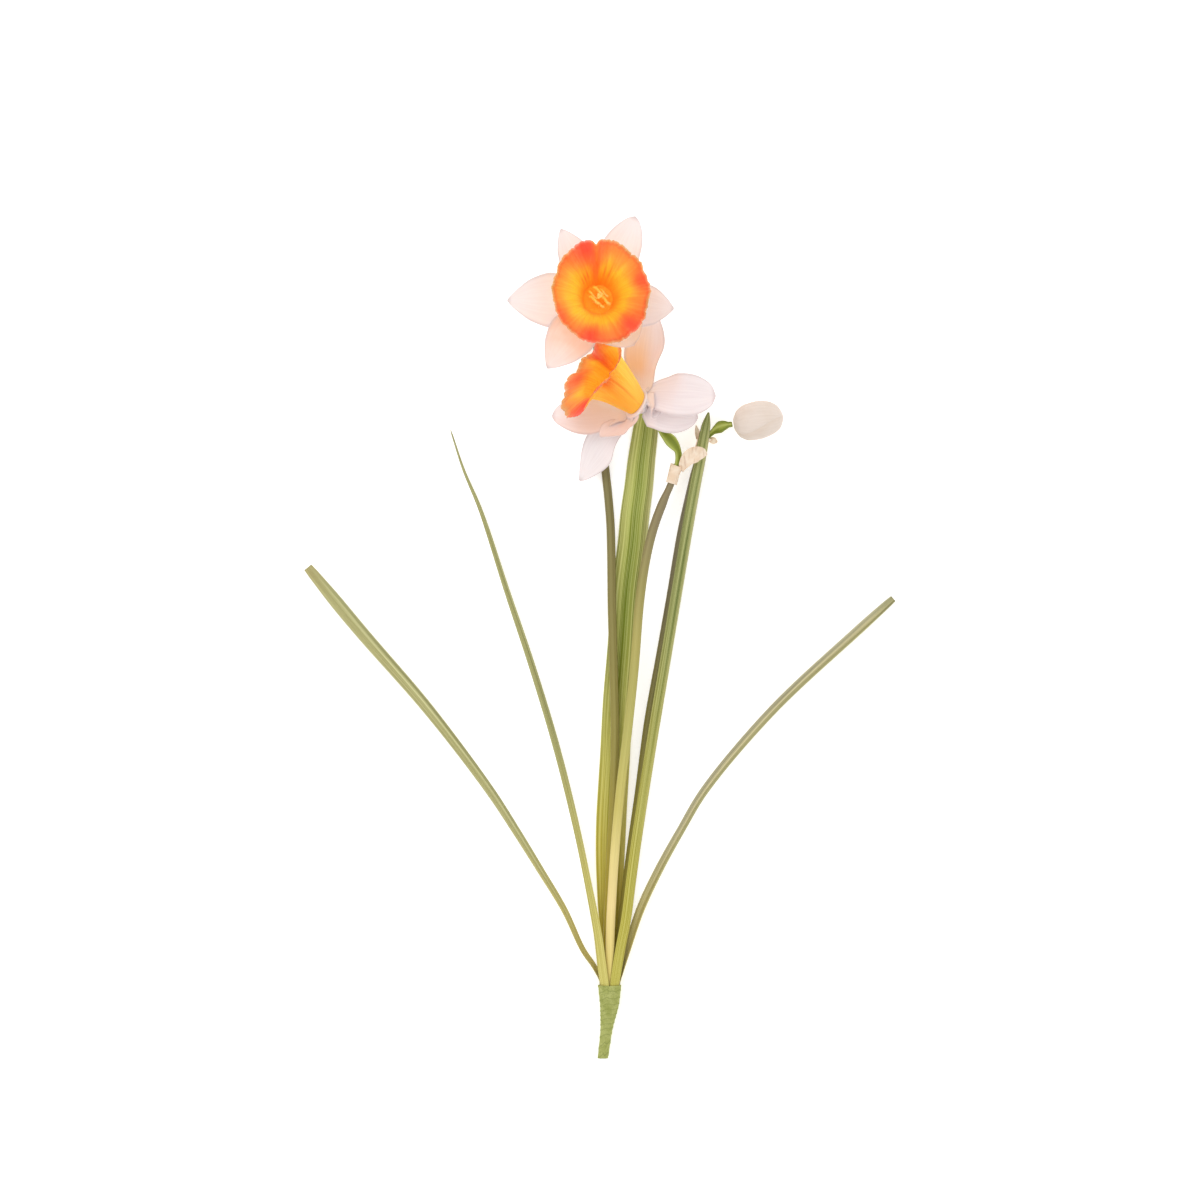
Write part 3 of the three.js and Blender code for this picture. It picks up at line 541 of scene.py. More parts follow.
# Cloth or paper grain: a fine even tooth and a slow mottling.
def clothGrainEffect():
    tree, given, out = newEffect("clothGrain", {
        "Vector": (0, 0, 0), "Tooth": 2500.0, "Mottle": 120.0, "Seed": 0.0,
    }, ("Tooth", "Mottle"))
    tooth = noiseOf(given["Vector"], given["Tooth"], 1.0, given["Seed"])
    mottle = noiseOf(given["Vector"], given["Mottle"], 2.0, given["Seed"])
    feed(out, {"Tooth": tooth, "Mottle": between(mottle, 0.3, 0.7)})
    return tree


# One soft patch of colour on a round body, centred on a direction round it and a height. It lays both
# dye and painted shade.
def dyeAndShadePatchEffect():
    tree, given, out = newEffect("dyeAndShadePatch", {
        "Ring": (0, 0, 0), "Direction": (1, 0, 0), "Height": 0.9, "Tightness": 12.0, "Reach": 0.2,
    }, ("Mask",))
    cos, sin, height = split(given["Ring"])
    facing = calc("DOT_PRODUCT", vectorOf(cos, sin, 0), given["Direction"])
    off = (height - given["Height"]) / given["Reach"]
    fall = (facing - 1) * given["Tightness"] + off * off * -1
    feed(out, {"Mask": calc("EXPONENT", fall)})
    return tree


lengthStreaks = lengthStreaksEffect()
clothGrain = clothGrainEffect()
dyeAndShadePatch = dyeAndShadePatchEffect()


# A look's "streaks" are lines, stretch and seed, and its "grain" is tooth, mottle and seed.
def streaksOf(vector, lines, stretch, seed=0.0):
    links = {"Vector": vector, "Lines": lines, "Stretch": stretch, "Seed": seed}
    return use(lengthStreaks, links)


def grainOf(tree, tooth, mottle, seed=0.0):
    where = outputOf(tree, "ShaderNodeTexCoord", key="Object")
    return use(clothGrain, {"Vector": where, "Tooth": tooth, "Mottle": mottle, "Seed": seed})


def mixed(factor, first, second, blend="MIX"):
    links = {0: factor, 6: first, 7: second}
    return outputOf(factor.tree, "ShaderNodeMix", links, 2, data_type="RGBA", blend_type=blend)


def ramp(value, stops):  # each stop is a place and its colour
    made = grow(value.tree, "ShaderNodeValToRGB", {0: value})
    bar = made.color_ramp.elements
    for place, *_ in stops[2:]:
        bar.new(place)
    for element, (place, *colour) in zip(list(bar), sorted(stops)):
        element.position = place
        element.color = paint(*colour)
    return Value(made.outputs[0])


def readMark(tree, name):
    return outputOf(tree, "ShaderNodeAttribute", key="Vector", attribute_name=name)


def newMaterial(name, fixed):  # the shader's constant values stand on its own sockets
    made = bpy.data.materials.new(name)
    made.use_nodes = True
    return made, made.node_tree, feed(made.node_tree.nodes["Principled BSDF"], fixed)


# A look's "rough" is where the wear starts and ends and how rough the surface is at each, and its
# "bump" is a strength and a height in mm.
def finish(shader, look, colour, wear, height):
    strength, rise = look["bump"]
    links = {"Strength": strength, "Distance": rise * mm, "Height": height}
    bump = outputOf(colour.tree, "ShaderNodeBump", links)
    feed(shader, {"Base Color": colour, "Roughness": between(wear, *look["rough"]), "Normal": bump})


# Camera, table and light

view = {"height": 2.385, "middle": (0.0, 0.022), "lens": 135, "sensor": 36}

cameraData = bpy.data.cameras.new("camera")
cameraData.lens = view["lens"]
cameraData.sensor_width = view["sensor"]
cameraData.clip_start = 0.1
cameraData.clip_end = 50
camera = addObject("camera", cameraData)
camera.location = (*view["middle"], view["height"])
scene.camera = camera

studio = {
    "floorSize": 12, "floorGap": 0.05, "floorColour": paint(250, 249, 248), "sky": 0.8,
    "floorGlow": 0.42,  # a lit table keeps shadows pale
    "key": {"place": (-0.9, 1.0, 2.2), "size": 1.8, "power": 16},
    "fill": {"place": (1.4, -0.6, 2.0), "size": 2.4, "power": 7},
}


def makeFloor():
    half = studio["floorSize"] / 2
    mesh = bpy.data.meshes.new("floor")
    corners = [(-half, -half), (half, -half), (half, half), (-half, half)]
    mesh.from_pydata([(x, y, -studio["floorGap"] * mm) for x, y in corners], [], [(0, 1, 2, 3)])
    mesh.materials.append(newMaterial("paleTable", {
        "Roughness": 0.9, "Specular IOR Level": 0.0, "Base Color": studio["floorColour"],
        "Emission Color": studio["floorColour"], "Emission Strength": studio["floorGlow"],
    })[0])
    addObject("floor", mesh)


def makeLight(name):
    look = studio[name]
    data = bpy.data.lights.new(name, "AREA")
    data.shape = "DISK"
    data.size = look["size"]
    data.energy = look["power"]
    lamp = addObject(name, data)
    lamp.location = look["place"]
    lamp.rotation_euler = (-Vector(look["place"])).to_track_quat("-Z", "Y").to_euler()


makeFloor()
for lampName in ("key", "fill"):
    makeLight(lampName)
world = bpy.data.worlds.new("studio")
world.use_nodes = True
feed(world.node_tree.nodes["Background"], {"Color": (1, 1, 1, 1), "Strength": studio["sky"]})
scene.world = world
scene.view_settings.view_transform = "Standard"
print("camera, table and light ready")

# Florist tape and the bundled wires inside it

tape = {
    "rings": [  # x, y and radius down the sleeve; its underside lies on the table
        (5.1, -181.5, 6.4), (5.1, -190.0, 5.5), (4.6, -196.0, 4.7), (3.9, -201.5, 3.9),
        (3.1, -208.0, 3.3), (1.5, -220.5, 3.0),
    ],
    "wall": 0.6, "rows": 300, "sides": 96, "turns": 11.0, "step": 0.22, "crinkle": 0.1,
    "colour": paint(160, 166, 90), "shade": paint(104, 114, 54), "light": paint(182, 186, 114),
    "grain": (1800.0, 260.0, 1.0), "rough": (0.3, 0.7, 0.7, 0.9), "bump": (0.5, 0.15),
}
core = {
    "firstRing": 2, "gap": 0.3, "share": 0.335, "rows": 24, "sides": 20, "streaks": (9.0, 2.0),
    "colour": paint(150, 150, 92), "shade": paint(110, 104, 66),
    "rough": (0, 1, 0.5, 0.75), "bump": (0.4, 0.1),
}


def sleeveRings(rings, inset, places, sides):
    table = [(i / (len(rings) - 1), ring) for i, ring in enumerate(rings)]
    x, y, radius = fromTable(table, places).T[:, :, None]
    angle = turnsOf(sides)[None]
    reach = radius - inset
    points = [x + reach * np.cos(angle), y + 0 * angle, radius + reach * np.sin(angle)]
    outward = np.stack([np.cos(angle), 0 * angle, np.sin(angle)], axis=-1)
    return np.stack(points, axis=-1) * mm, np.repeat(outward, len(places), axis=0)


def tapeMaterial():
    made, tree, shader = newMaterial("floristTape", {"Specular IOR Level": 0.12})
    ring = readMark(tree, "ring")
    saw = calc("FRACT", wraps(ring, tape["turns"]) + noiseOf(ring, 1.4, 1.0, 2.0))
    grain = grainOf(tree, *tape["grain"])
    colour = mixed(grain["Mottle"], tape["colour"], tape["light"])
    colour = mixed(between(saw, 0.82, 1.0) * 0.55, colour, tape["shade"])
    crepe = noiseOf(ring * (14, 14, 90), 1.0, 2.0, 6.0)
    colour = mixed(between(crepe, 0.48, 0.7) * 0.55, colour, tape["shade"])
    finish(shader, tape, colour, grain["Tooth"], crepe)
    return made


def makeTape():
    places = np.linspace(0, 1, tape["rows"] + 1)
    outer, outward = sleeveRings(tape["rings"], 0, places, tape["sides"])
    inner, _ = sleeveRings(tape["rings"], tape["wall"], places, tape["sides"])
    part = wallPart(outer[:, ::-1], inner[:, ::-1], places, outward[:, ::-1])
    part["marks"]["front"] *= 1 - part["marks"]["skin"][:, :1]
    sleeve = makeObject("tapeWraps", part)
    runNodes(sleeve, woundTape, {
        "Turns": tape["turns"], "Step": tape["step"] * mm, "Crinkle": tape["crinkle"] * mm,
        "Material": tapeMaterial(),
    })
    settle(sleeve, ["florist_tape"])


def coreMaterial():
    made, tree, shader = newMaterial("bundledWires", {"Specular IOR Level": 0.3})
    streaks = streaksOf(readMark(tree, "ring"), *core["streaks"])
    colour = mixed(streaks["Broad"], core["shade"], core["colour"])
    finish(shader, core, colour, streaks["Fine"], streaks["Fine"])
    return made


def makeCore():  # seven wires packed in the sleeve, cut level with its foot
    rings = tape["rings"][core["firstRing"]:]
    inset = tape["wall"] + core["gap"]
    radii = [(i / (len(rings) - 1), (r - inset) * core["share"]) for i, (_, _, r) in enumerate(rings)]
    wires = []
    for i in range(7):
        turn = i * math.pi / 3
        off = 0 if i == 6 else 2 / 3  # the last is the middle one
        points = [(x + off * (r - inset) * math.cos(turn), y, r + off * (r - inset) * math.sin(turn))
                  for x, y, r in rings]
        wires.append(tubePart(points, radii, core["rows"], core["sides"], rounding=0.15))
    bundle = makeObject("wireBundle", joined(wires))
    bundle.data.materials.append(coreMaterial())
    settle(bundle, ["stem_core"])


makeTape()
makeCore()

# Stems

mouth = {"x": tape["rings"][0][0], "y": tape["rings"][0][1], "radius": tape["rings"][0][2],
         "insideDepth": 8, "insideRadius": 5.55, "gap": 0.3}
stemCommon = {
    "steps": 220, "sides": 40, "flutes": 5.0, "fluteDepth": 0.07, "twist": 4.0, "top": 1.9,
    "footMouth": 1.9, "footInside": 1.6, "dark": paint(160, 148, 120), "light": paint(214, 206, 140),
    "darkStreaks": 0.25, "lightStreaks": 0.14, "streaks": (7.0, 5.0, 2.0), "grain": (1500.0, 90.0),
    "rough": (0, 1, 0.42, 0.6), "bump": (0.25, 0.08),
}
stemLeft = {
    "node": "stem_left", "slot": "stem_olive", "footAngle": 210, "radius": 2.3,
    "points": [
        (3.9, -152.5, 5.0), (5.6, -110, 4.8), (7.2, -80, 4.7), (7.9, -50, 4.7), (7.3, -18, 4.7),
        (6.3, 20, 4.7), (6.1, 41, 4.4), (5.6, 62, 3.6), (4.2, 79, 2.9), (2.4, 96, 2.5),
        (0.6, 124, 2.42), (-0.8, 148, 2.42), (-1.7, 158, 3.6), (-2.4, 165.4, 9), (-3.2, 169.2, 18),
    ],
    "colours": [
        (0.0, 192, 176, 70), (0.18, 176, 160, 66), (0.34, 158, 147, 76), (0.5, 140, 130, 70),
        (0.7, 118, 108, 66), (0.85, 124, 112, 80), (1.0, 132, 124, 88),
    ],
}
stemMiddle = {
    "node": "stem_middle", "slot": "stem_cream", "footAngle": 90, "radius": 2.45,
    "points": [
        (5.4, -153, 9.9), (6.5, -131, 10.4), (8.2, -106, 10.6), (10.8, -78, 10.6), (14.7, -46, 10.4),
        (18.2, -13, 10.2), (21.1, 22, 10.1), (24.4, 44, 10.1), (28.3, 60, 10.3), (33.2, 73.5, 10.6),
        (38.1, 84.8, 11.2), (39.4, 89.6, 11.4),
    ],
    "colours": [
        (0.0, 214, 194, 100), (0.08, 236, 216, 130), (0.18, 252, 228, 160), (0.27, 240, 222, 146),
        (0.36, 212, 199, 112), (0.5, 190, 184, 102), (0.68, 178, 168, 94), (0.8, 154, 144, 88),
        (0.9, 138, 124, 94), (1.0, 134, 120, 96),
    ],
}
stemRight = {
    "node": "stem_right", "slot": "stem_olive", "footAngle": 330, "radius": 2.3,
    "points": [
        (11.1, -152.6, 4.8), (15.7, -114.5, 4.4), (20.6, -80, 4.2), (25.7, -41.5, 4.2),
        (31.6, -9, 4.2), (37.4, 23.6, 4.2), (43.2, 58, 4.2), (48.7, 82.8, 4.5), (52.6, 99, 4.9),
        (54.5, 106.4, 5.1),
    ],
    "colours": [
        (0.0, 168, 156, 66), (0.3, 146, 138, 66), (0.5, 122, 114, 62), (0.7, 104, 95, 70),
        (0.9, 116, 108, 92), (1.0, 120, 114, 84),
    ],
}


def footSpots(angle, inside, atMouth):  # where a foot ends inside the tape and leaves its mouth
    turn = math.radians(angle)
    places = ((inside, mouth["y"] - mouth["insideDepth"], mouth["insideRadius"]),
              (atMouth, mouth["y"], mouth["radius"]))
    return [(mouth["x"] + reach * math.cos(turn), y, z + reach * math.sin(turn))
            for reach, y, z in places]


def stemMaterial(name, colours):
    made, tree, shader = newMaterial(name, {"Specular IOR Level": 0.2})
    ring = readMark(tree, "ring")
    streaks, grain = streaksOf(ring, *stemCommon["streaks"]), grainOf(tree, *stemCommon["grain"])
    colour = ramp(split(ring)[2], colours)
    colour = mixed(streaks["Fine"] * stemCommon["darkStreaks"], colour, stemCommon["dark"], "MULTIPLY")
    colour = mixed(streaks["Broad"] * stemCommon["lightStreaks"], colour, stemCommon["light"])
    finish(shader, stemCommon, colour, grain["Mottle"], streaks["Fine"])
    return made


def makeStem(name, look):
    radii = [(0, stemCommon["footInside"]), (0.03, stemCommon["footMouth"]), (0.11, look["radius"]),
             (0.93, look["radius"]), (0.965, stemCommon["top"]), (1, stemCommon["top"])]
    places = np.linspace(0, 1, stemCommon["steps"] + 1)
    reaches = [(2 * stemCommon[foot] + mouth["gap"]) / math.sqrt(3)
               for foot in ("footInside", "footMouth")]  # three stems stand clear of each other
    centre, _ = alongPath(footSpots(look["footAngle"], *reaches) + look["points"], places)
    curve = bpy.data.curves.new(name, "CURVE")
    curve.dimensions = "3D"
    spline = curve.splines.new("POLY")
    spline.points.add(len(places) - 1)
    for point, spot, radius in zip(spline.points, centre, fromTable(radii, places)):
        point.co = (*spot, 1)
        point.radius = radius * mm
    stem = addObject(name, curve)
    runNodes(stem, roundStem, {
        "Sides": stemCommon["sides"], "Flutes": stemCommon["flutes"], "Twist": stemCommon["twist"],
        "Flute Depth": stemCommon["fluteDepth"] * mm, "Material": stemMaterial(name, look["colours"]),
    })
    settle(stem, [look["node"]])


for stemName, stemLook in (("stemLeft", stemLeft), ("stemMiddle", stemMiddle), ("stemRight", stemRight)):
    makeStem(stemName, stemLook)

# Leaves. The foot of each is an arc round the stems, which opens into a shallow keel.

leafCommon = {
    "thickness": 0.55, "steps": 170, "columns": 19, "footRadius": 5.1, "insideRadius": 4.35,
    "footHalfAngle": 31, "sharpness": 1.5, "waver": 0.06,
    "streaks": (18.0, 2.4), "drift": 0.07, "dark": paint(168, 164, 116),
    "light": paint(218, 216, 152), "darkStreaks": 0.5, "lightStreaks": 0.34,
    "rough": (0, 1, 0.5, 0.68), "bump": (0.3, 0.1),
}
leafFarLeft = {
    "node": "leaf_far_left", "slot": "leaf_striped", "foot": 198, "keel": 0.28,
    "points": [
        (0.3, -179.6, 4.8), (-3.3, -172.3, 4.6), (-9.5, -163.2, 4.2), (-19.3, -142.1, 3.8),
        (-32, -120.9, 3.4), (-45, -99.8, 3.0), (-58.8, -78.6, 2.6), (-90.8, -36.3, 1.9),
        (-127.4, 6.1, 1.2), (-154.8, 39.3, 0.4),
    ],
    "halfWidth": [
        (0, 1.9), (0.024, 2.2), (0.06, 2.5), (0.25, 2.4), (0.5, 2.7), (0.7, 3.2), (0.9, 3.5),
        (0.98, 2.8), (1, 2.4),
    ],
    "facing": [(0, None), (0.15, (0.8, 0.25, 0.6)), (0.5, (0.35, 0.2, 1)), (1, (0, 0, 1))],
    "bands": [
        (0.0, 198, 194, 148), (0.14, 182, 176, 124), (0.3, 188, 183, 132), (0.44, 172, 167, 116),
        (0.54, 186, 182, 128), (0.66, 216, 212, 162), (0.77, 166, 163, 112), (0.88, 146, 142, 98),
        (1.0, 190, 188, 150),
    ],
    "base": paint(202, 182, 98), "baseEnd": 0.4, "tip": paint(184, 170, 120),
    "lines": 6.0, "lineDepth": 0.2, "seed": 1.0,
}
leafLeft = {
    "node": "leaf_left", "slot": "leaf_striped", "foot": 126, "keel": 0.2,
    "points": [
        (0.9, -173.8, 10.6), (-1.6, -154.8, 10), (-6.1, -131.1, 9.4), (-12.7, -99.5, 8.6),
        (-23.2, -57.3, 7.4), (-35.9, -15, 6.4), (-50, 27.3, 5.4), (-63.8, 69.6, 4.8),
        (-72.5, 90.8, 4.4), (-79.2, 112, 4),
    ],
    "halfWidth": [
        (0, 1.9), (0.024, 2.8), (0.06, 3.3), (0.2, 3.2), (0.5, 3.6), (0.8, 3.4), (0.97, 1.6),
        (1, 0.8),
    ],
    "facing": [
        (0, None), (0.12, (0.75, 0, -0.65)), (0.25, (0.85, 0.2, -0.6)), (0.6, (0.85, 0.2, -0.5)),
        (1, (0.9, 0.3, -0.2)),
    ],
    "bands": [
        (0.0, 168, 166, 116), (0.25, 148, 146, 94), (0.45, 164, 160, 100), (0.6, 150, 147, 94),
        (0.8, 178, 176, 116), (1.0, 170, 168, 122),
    ],
    "base": paint(222, 208, 106), "baseEnd": 0.5, "tip": paint(150, 150, 104),
    "lines": 6.0, "lineDepth": 0.15, "seed": 2.0,
}
leafRight = {
    "node": "leaf_right", "slot": "leaf_dark", "foot": 54, "keel": 0.18,
    "points": [
        (11, -162.7, 10.2), (14, -146.9, 10.2), (16.7, -125.8, 10.1), (19.8, -103.1, 9.8),
        (26.4, -60.4, 9.5), (36.4, -0.2, 9.5), (44.6, 48.9, 9.6), (50.1, 80.6, 10.2),
        (52.8, 94.8, 10.8), (55.1, 108, 11.2), (57.3, 121, 11.2),
    ],
    "halfWidth": [
        (0, 1.9), (0.024, 2.8), (0.06, 3.1), (0.2, 3.1), (0.5, 3.2), (0.93, 3.3), (0.975, 2.7),
        (0.992, 1.4), (1, 0.5),
    ],
    "facing": [(0, None), (0.15, (-0.5, 0, -0.85)), (1, (-0.4, 0, -0.9))],
    "bands": [
        (0.0, 206, 204, 170), (0.1, 176, 176, 124), (0.22, 184, 184, 122), (0.36, 122, 134, 66),
        (0.5, 98, 114, 50), (0.62, 180, 186, 122), (0.74, 134, 142, 78), (0.88, 112, 120, 56),
        (1.0, 118, 120, 70),
    ],
    "base": paint(206, 194, 70), "baseEnd": 0.75, "tip": paint(96, 110, 44),
    "lines": 9.0, "lineDepth": 0.15, "seed": 3.0,
}
leafFarRight = {
    "node": "leaf_far_right", "slot": "leaf_striped", "foot": -18, "keel": 0.22,
    "points": [
        (10.4, -178.6, 4.9), (14.8, -163.1, 4.9), (21.7, -142, 4.8), (31.5, -120.8, 4.5),
        (43.1, -99.7, 4.2), (55.8, -78.5, 4), (91.6, -36.2, 3.2), (136.9, 6.1, 1.6),
        (155.4, 22.8, 0.5),
    ],
    "halfWidth": [
        (0, 1.9), (0.024, 2.2), (0.06, 3), (0.2, 3.1), (0.4, 2.6), (0.9, 2.5), (0.98, 2.1), (1, 1.8),
    ],
    "facing": [(0, None), (0.15, (-0.7, 0.4, 0.7)), (0.5, (-0.4, 0.3, 0.85)), (1, (0, 0, 1))],
    "bands": [
        (0.0, 214, 208, 186), (0.14, 180, 172, 150), (0.28, 168, 159, 136), (0.42, 196, 185, 152),
        (0.55, 226, 213, 176), (0.66, 184, 174, 132), (0.78, 148, 140, 98), (0.9, 162, 156, 112),
        (1.0, 190, 186, 146),
    ],
    "base": paint(208, 190, 114), "baseEnd": 0.4, "tip": paint(140, 136, 100),
    "lines": 6.0, "lineDepth": 0.2, "seed": 4.0,
}
leafBroad = {
    "node": "leaf_broad", "slot": "leaf_broad", "foot": 270, "keel": 0.0, "edgeRise": 0.8,
    "flatMiddle": 0.34, "ribs": 0.22,
    "points": [
        (5.1, -166, 0.95), (5.2, -153, 0.45), (5.3, -145, 0.35),
        *[(x, y, 0.325) for x, y in (  # lies flat from here on
            (5.3, -135), (5.4, -114), (6.1, -91.9), (7.9, -61.7), (9.5, -31), (11.7, -4.5), (14, 27.3),
            (17, 51.1), (18.6, 68.1), (20.5, 82), (22, 96.2), (24.1, 112.1), (26.5, 133),
        )],
    ],
    "halfWidth": [
        (0, 1.9), (0.024, 2.2), (0.06, 2.9), (0.16, 6.6), (0.3, 8), (0.5, 7.9), (0.8, 7.7),
        (0.93, 6.8), (0.98, 4.4), (1, 2),
    ],
    "facing": [(0, None), (1, (0, 0, 1))],
    # These bands are partly the leaf's stripes and partly a painted highlight and painted shade where it
    # folds lengthwise.
    "bands": [
        (0.0, 198, 200, 131), (0.07, 158, 162, 81), (0.16, 203, 206, 118), (0.26, 206, 213, 120),
        (0.34, 180, 190, 88), (0.42, 150, 163, 62), (0.5, 132, 148, 46), (0.58, 142, 159, 56),
        (0.68, 180, 191, 98), (0.75, 182, 189, 101), (0.82, 140, 148, 66), (0.91, 167, 166, 95),
        (1.0, 210, 210, 151),
    ],
    "base": paint(238, 219, 88), "baseEnd": 0.7, "tip": paint(145, 165, 56),
    "lines": 6.0, "lineDepth": 0.12, "seed": 5.0,
}


def leafMaterial(name, look):
    made, tree, shader = newMaterial(name, {"Specular IOR Level": 0.15})
    place = readMark(tree, "place")
    across, _, along = split(place)
    streaks = streaksOf(place, *leafCommon["streaks"], look["seed"])
    drift = (streaks["Broad"] - 0.5) * leafCommon["drift"]
    colour = ramp(calc("MULTIPLY_ADD", across, 0.5, 0.5) + drift, look["bands"])
    colour = mixed(between(along + drift, 0.06, look["baseEnd"], 0.92, 0), colour, look["base"])
    colour = mixed(between(along, 0.93, 1.0, 0, 0.7), colour, look["tip"])
    fine = between(streaks["Fine"], 0.35, 0.65)
    colour = mixed(fine * leafCommon["darkStreaks"], colour, leafCommon["dark"], "MULTIPLY")
    colour = mixed((1 - fine) * leafCommon["lightStreaks"], colour, leafCommon["light"])
    finish(shader, leafCommon, colour, streaks["Broad"], streaks["Fine"])
    return made


def makeLeaf(name, look):
    first = footSpots(look["foot"], leafCommon["insideRadius"], leafCommon["footRadius"])
    turn = math.radians(look["foot"])
    inward = (-math.cos(turn), 0, -math.sin(turn))
    facing = [(place, inward if way is None else way) for place, way in look["facing"]]
    flat, rise, curve = look.get("flatMiddle", 0), look.get("edgeRise", 0), leafCommon["footRadius"]

    def lift(side, place, width):
        chord = side * curve * math.sin(math.radians(leafCommon["footHalfAngle"]))
        arc = curve - np.sqrt(curve**2 - chord**2)
        beyond = np.maximum(0, (np.abs(side) - flat) / (1 - flat))
        opened = look["keel"] * np.abs(side * width) + rise * beyond**2
        share = smoothStep(0.05, 0.2, place)
        return arc * (1 - share) + opened * share

    def ribs(side, place):
        return look["ribs"] * smoothStep(0.1, 0.25, place) * np.cos(1.5 * math.pi * side) ** 2

    part = bladePart(
        first + look["points"], look["halfWidth"], facing, lift, leafCommon["thickness"],
        leafCommon["steps"], leafCommon["columns"], ribs if "ribs" in look else None,
    )
    leaf = makeObject(name, part)
    runNodes(leaf, pressedLines, {
        "Lines": look["lines"], "Depth": look["lineDepth"] * mm, "Seed": look["seed"],
        "Sharpness": leafCommon["sharpness"], "Waver": leafCommon["waver"],
        "Material": leafMaterial(name, look),
    })
    settle(leaf, [look["node"]])


for leafName, leafLook in (
    ("leafFarLeft", leafFarLeft), ("leafLeft", leafLeft), ("leafRight", leafRight),
    ("leafFarRight", leafFarRight), ("leafBroad", leafBroad),
):
    makeLeaf(leafName, leafLook)

# Blooms


def bloomFrame(hub, axis, zero):  # z points out of the trumpet; angles start at zero
    z = Vector(axis).normalized()
    x = Vector(zero)
    x = (x - z * x.dot(z)).normalized()
    turn = Matrix((x, z.cross(x), z)).transposed().to_4x4()
    return Matrix.Translation(Vector(hub) * mm) @ turn


tepal = {
    "thickness": 0.45, "steps": 54, "columns": 25, "wave": 0.5, "crown": 0.3,
    "footReach": 5.5, "footDrop": 0.7,
    "lines": 11.0, "lineDepth": 0.07, "sharpness": 1.0, "waver": 0.12, "seed": 6.0,
    "outline": [(0.22, 0.84), (0.44, 1), (0.68, 0.8), (0.86, 0.44), (0.96, 0.17), (1, 0.03)],
    # peach is partly the fabric's blush and partly painted shade and orange cast near the trumpet; amber
    # is painted shade with the trumpet's orange cast; lilac is painted shade; edge darkens the veins and
    # is painted shade on rims and tips
    "white": paint(245, 235, 234), "peach": paint(248, 204, 186), "amberShade": paint(252, 213, 176),
    "lilacShade": paint(239, 227, 228), "edge": paint(212, 196, 196), "root": paint(249, 240, 239),
    "streaks": (12.0, 2.0, 7.0), "grain": (2600.0, 110.0, 3.0),
    "rough": (0.3, 0.7, 0.62, 0.8), "bump": (0.35, 0.12),
}
hub = {"radius": 8.5, "thickness": 1.4, "tube": 3.0, "sides": 64}
trumpet = {
    "depth": 30, "pleats": 10, "pleatShare": 0.012, "edgeWave": 0.6, "ruckWaves": 34, "wall": 0.5,
    "gap": 0.3, "rows": 64, "sides": 432, "scallops": 27.0, "scallopDepth": 0.7,
    "finePleats": 52.0, "finePleatDepth": 0.12, "waver": 0.5, "drift": 0.16,
    "streaks": (14.0, 1.4, 9.0), "grain": (2600.0, 160.0, 5.0),
    "rough": (0.3, 0.7, 0.6, 0.8), "bump": (0.4, 0.15),
}
bloomTop = {
    "node": "bloom_top", "hub": (-1.6, 176.6, 50), "axis": (0.085, 0.15, 0.985), "zero": (1, 0, 0),
    "tubeLength": 9, "rim": 25.4, "lean": [(0, 0), (1, 0)], "cup": 0.16,
    "profile": [
        (0, 0.26), (0.16, 0.3), (0.36, 0.38), (0.58, 0.48), (0.76, 0.63), (0.9, 0.83), (1, 1),
    ],
    # radius of the mouth by direction; "folds" are creases by direction, depth and spread
    "mouth": [
        (0, 25), (24, 24.6), (48, 25), (72, 26.2), (92, 26.8), (98, 25.8), (104, 26.8), (120, 27),
        (144, 25.9), (160, 25.5), (180, 25.8), (204, 26.4), (228, 27.6), (252, 28.5), (280, 28.8),
        (306, 28), (324, 26.6), (340, 25.5), (360, 25),
    ],
    "folds": [(98, 0.9, 0.1)], "rucks": (98, 0.3, 0.5), "root": 0.4, "antherStretch": 1.35,
    # angle round the hub, length, half width, forward sweep, ripple phase, bluntness, and how much
    # blush with painted shade, lilac painted shade and amber painted shade there is in its tint
    "tepals": [
        (116, 43, 9.6, 0, 0, 0.0, (0.2, 0.1, 0)), (66, 50, 11, 2, 1.5, 0.35, (0.35, 0.2, 0)),
        (179, 46.5, 14.5, -4, 3, 0.0, (0.2, 0.1, 0)), (-3, 40.5, 12.5, -3, 4, 0.0, (0.5, 0.1, 0)),
        (234, 44, 12.8, 2, 5.2, 0.0, (1.0, 0.1, 0)), (306, 35.5, 14, 33, 2.2, 0.4, (0.1, 0.1, 0)),
    ],
    "inside": [
        (0.0, 255, 186, 84), (0.2, 255, 172, 56), (0.36, 255, 176, 40), (0.55, 255, 190, 44),
        (0.72, 255, 188, 52), (0.8, 255, 160, 60), (0.88, 255, 128, 56), (0.945, 250, 108, 52),
        (0.97, 214, 78, 46), (1.0, 150, 60, 46),
    ],
    # direction round the trumpet, height, tightness, reach and strength of each patch of dye; the crease
    # patches are painted shadow along the folds
    "innerDye": {
        "gold": [(182, 0.66, 3, 0.24, 0.9), (222, 0.66, 8, 0.2, 0.6), (40, 0.62, 3, 0.26, 0.5)],
        "deep": [(80, 0.3, 2.5, 0.34, 0.75), (345, 0.16, 5, 0.3, 0.7)],
        "red": [(111, 0.94, 9, 0.22, 1.0), (103, 0.66, 60, 0.3, 0.6), (256, 0.94, 22, 0.17, 0.95),
                (311, 0.92, 24, 0.19, 0.95), (16, 0.94, 26, 0.13, 0.85), (214, 0.97, 30, 0.12, 0.7)],
        # the crease rows are painted shadow along the folds and creases
        "crease": [(96.5, 0.82, 420, 0.32, 0.9), (122, 0.56, 900, 0.15, 0.75),
                   (131, 0.54, 900, 0.15, 0.75), (140, 0.52, 900, 0.14, 0.6),
                   (66, 0.6, 900, 0.15, 0.6), (78, 0.6, 900, 0.15, 0.6)],
    },
    "outerDye": {},
}
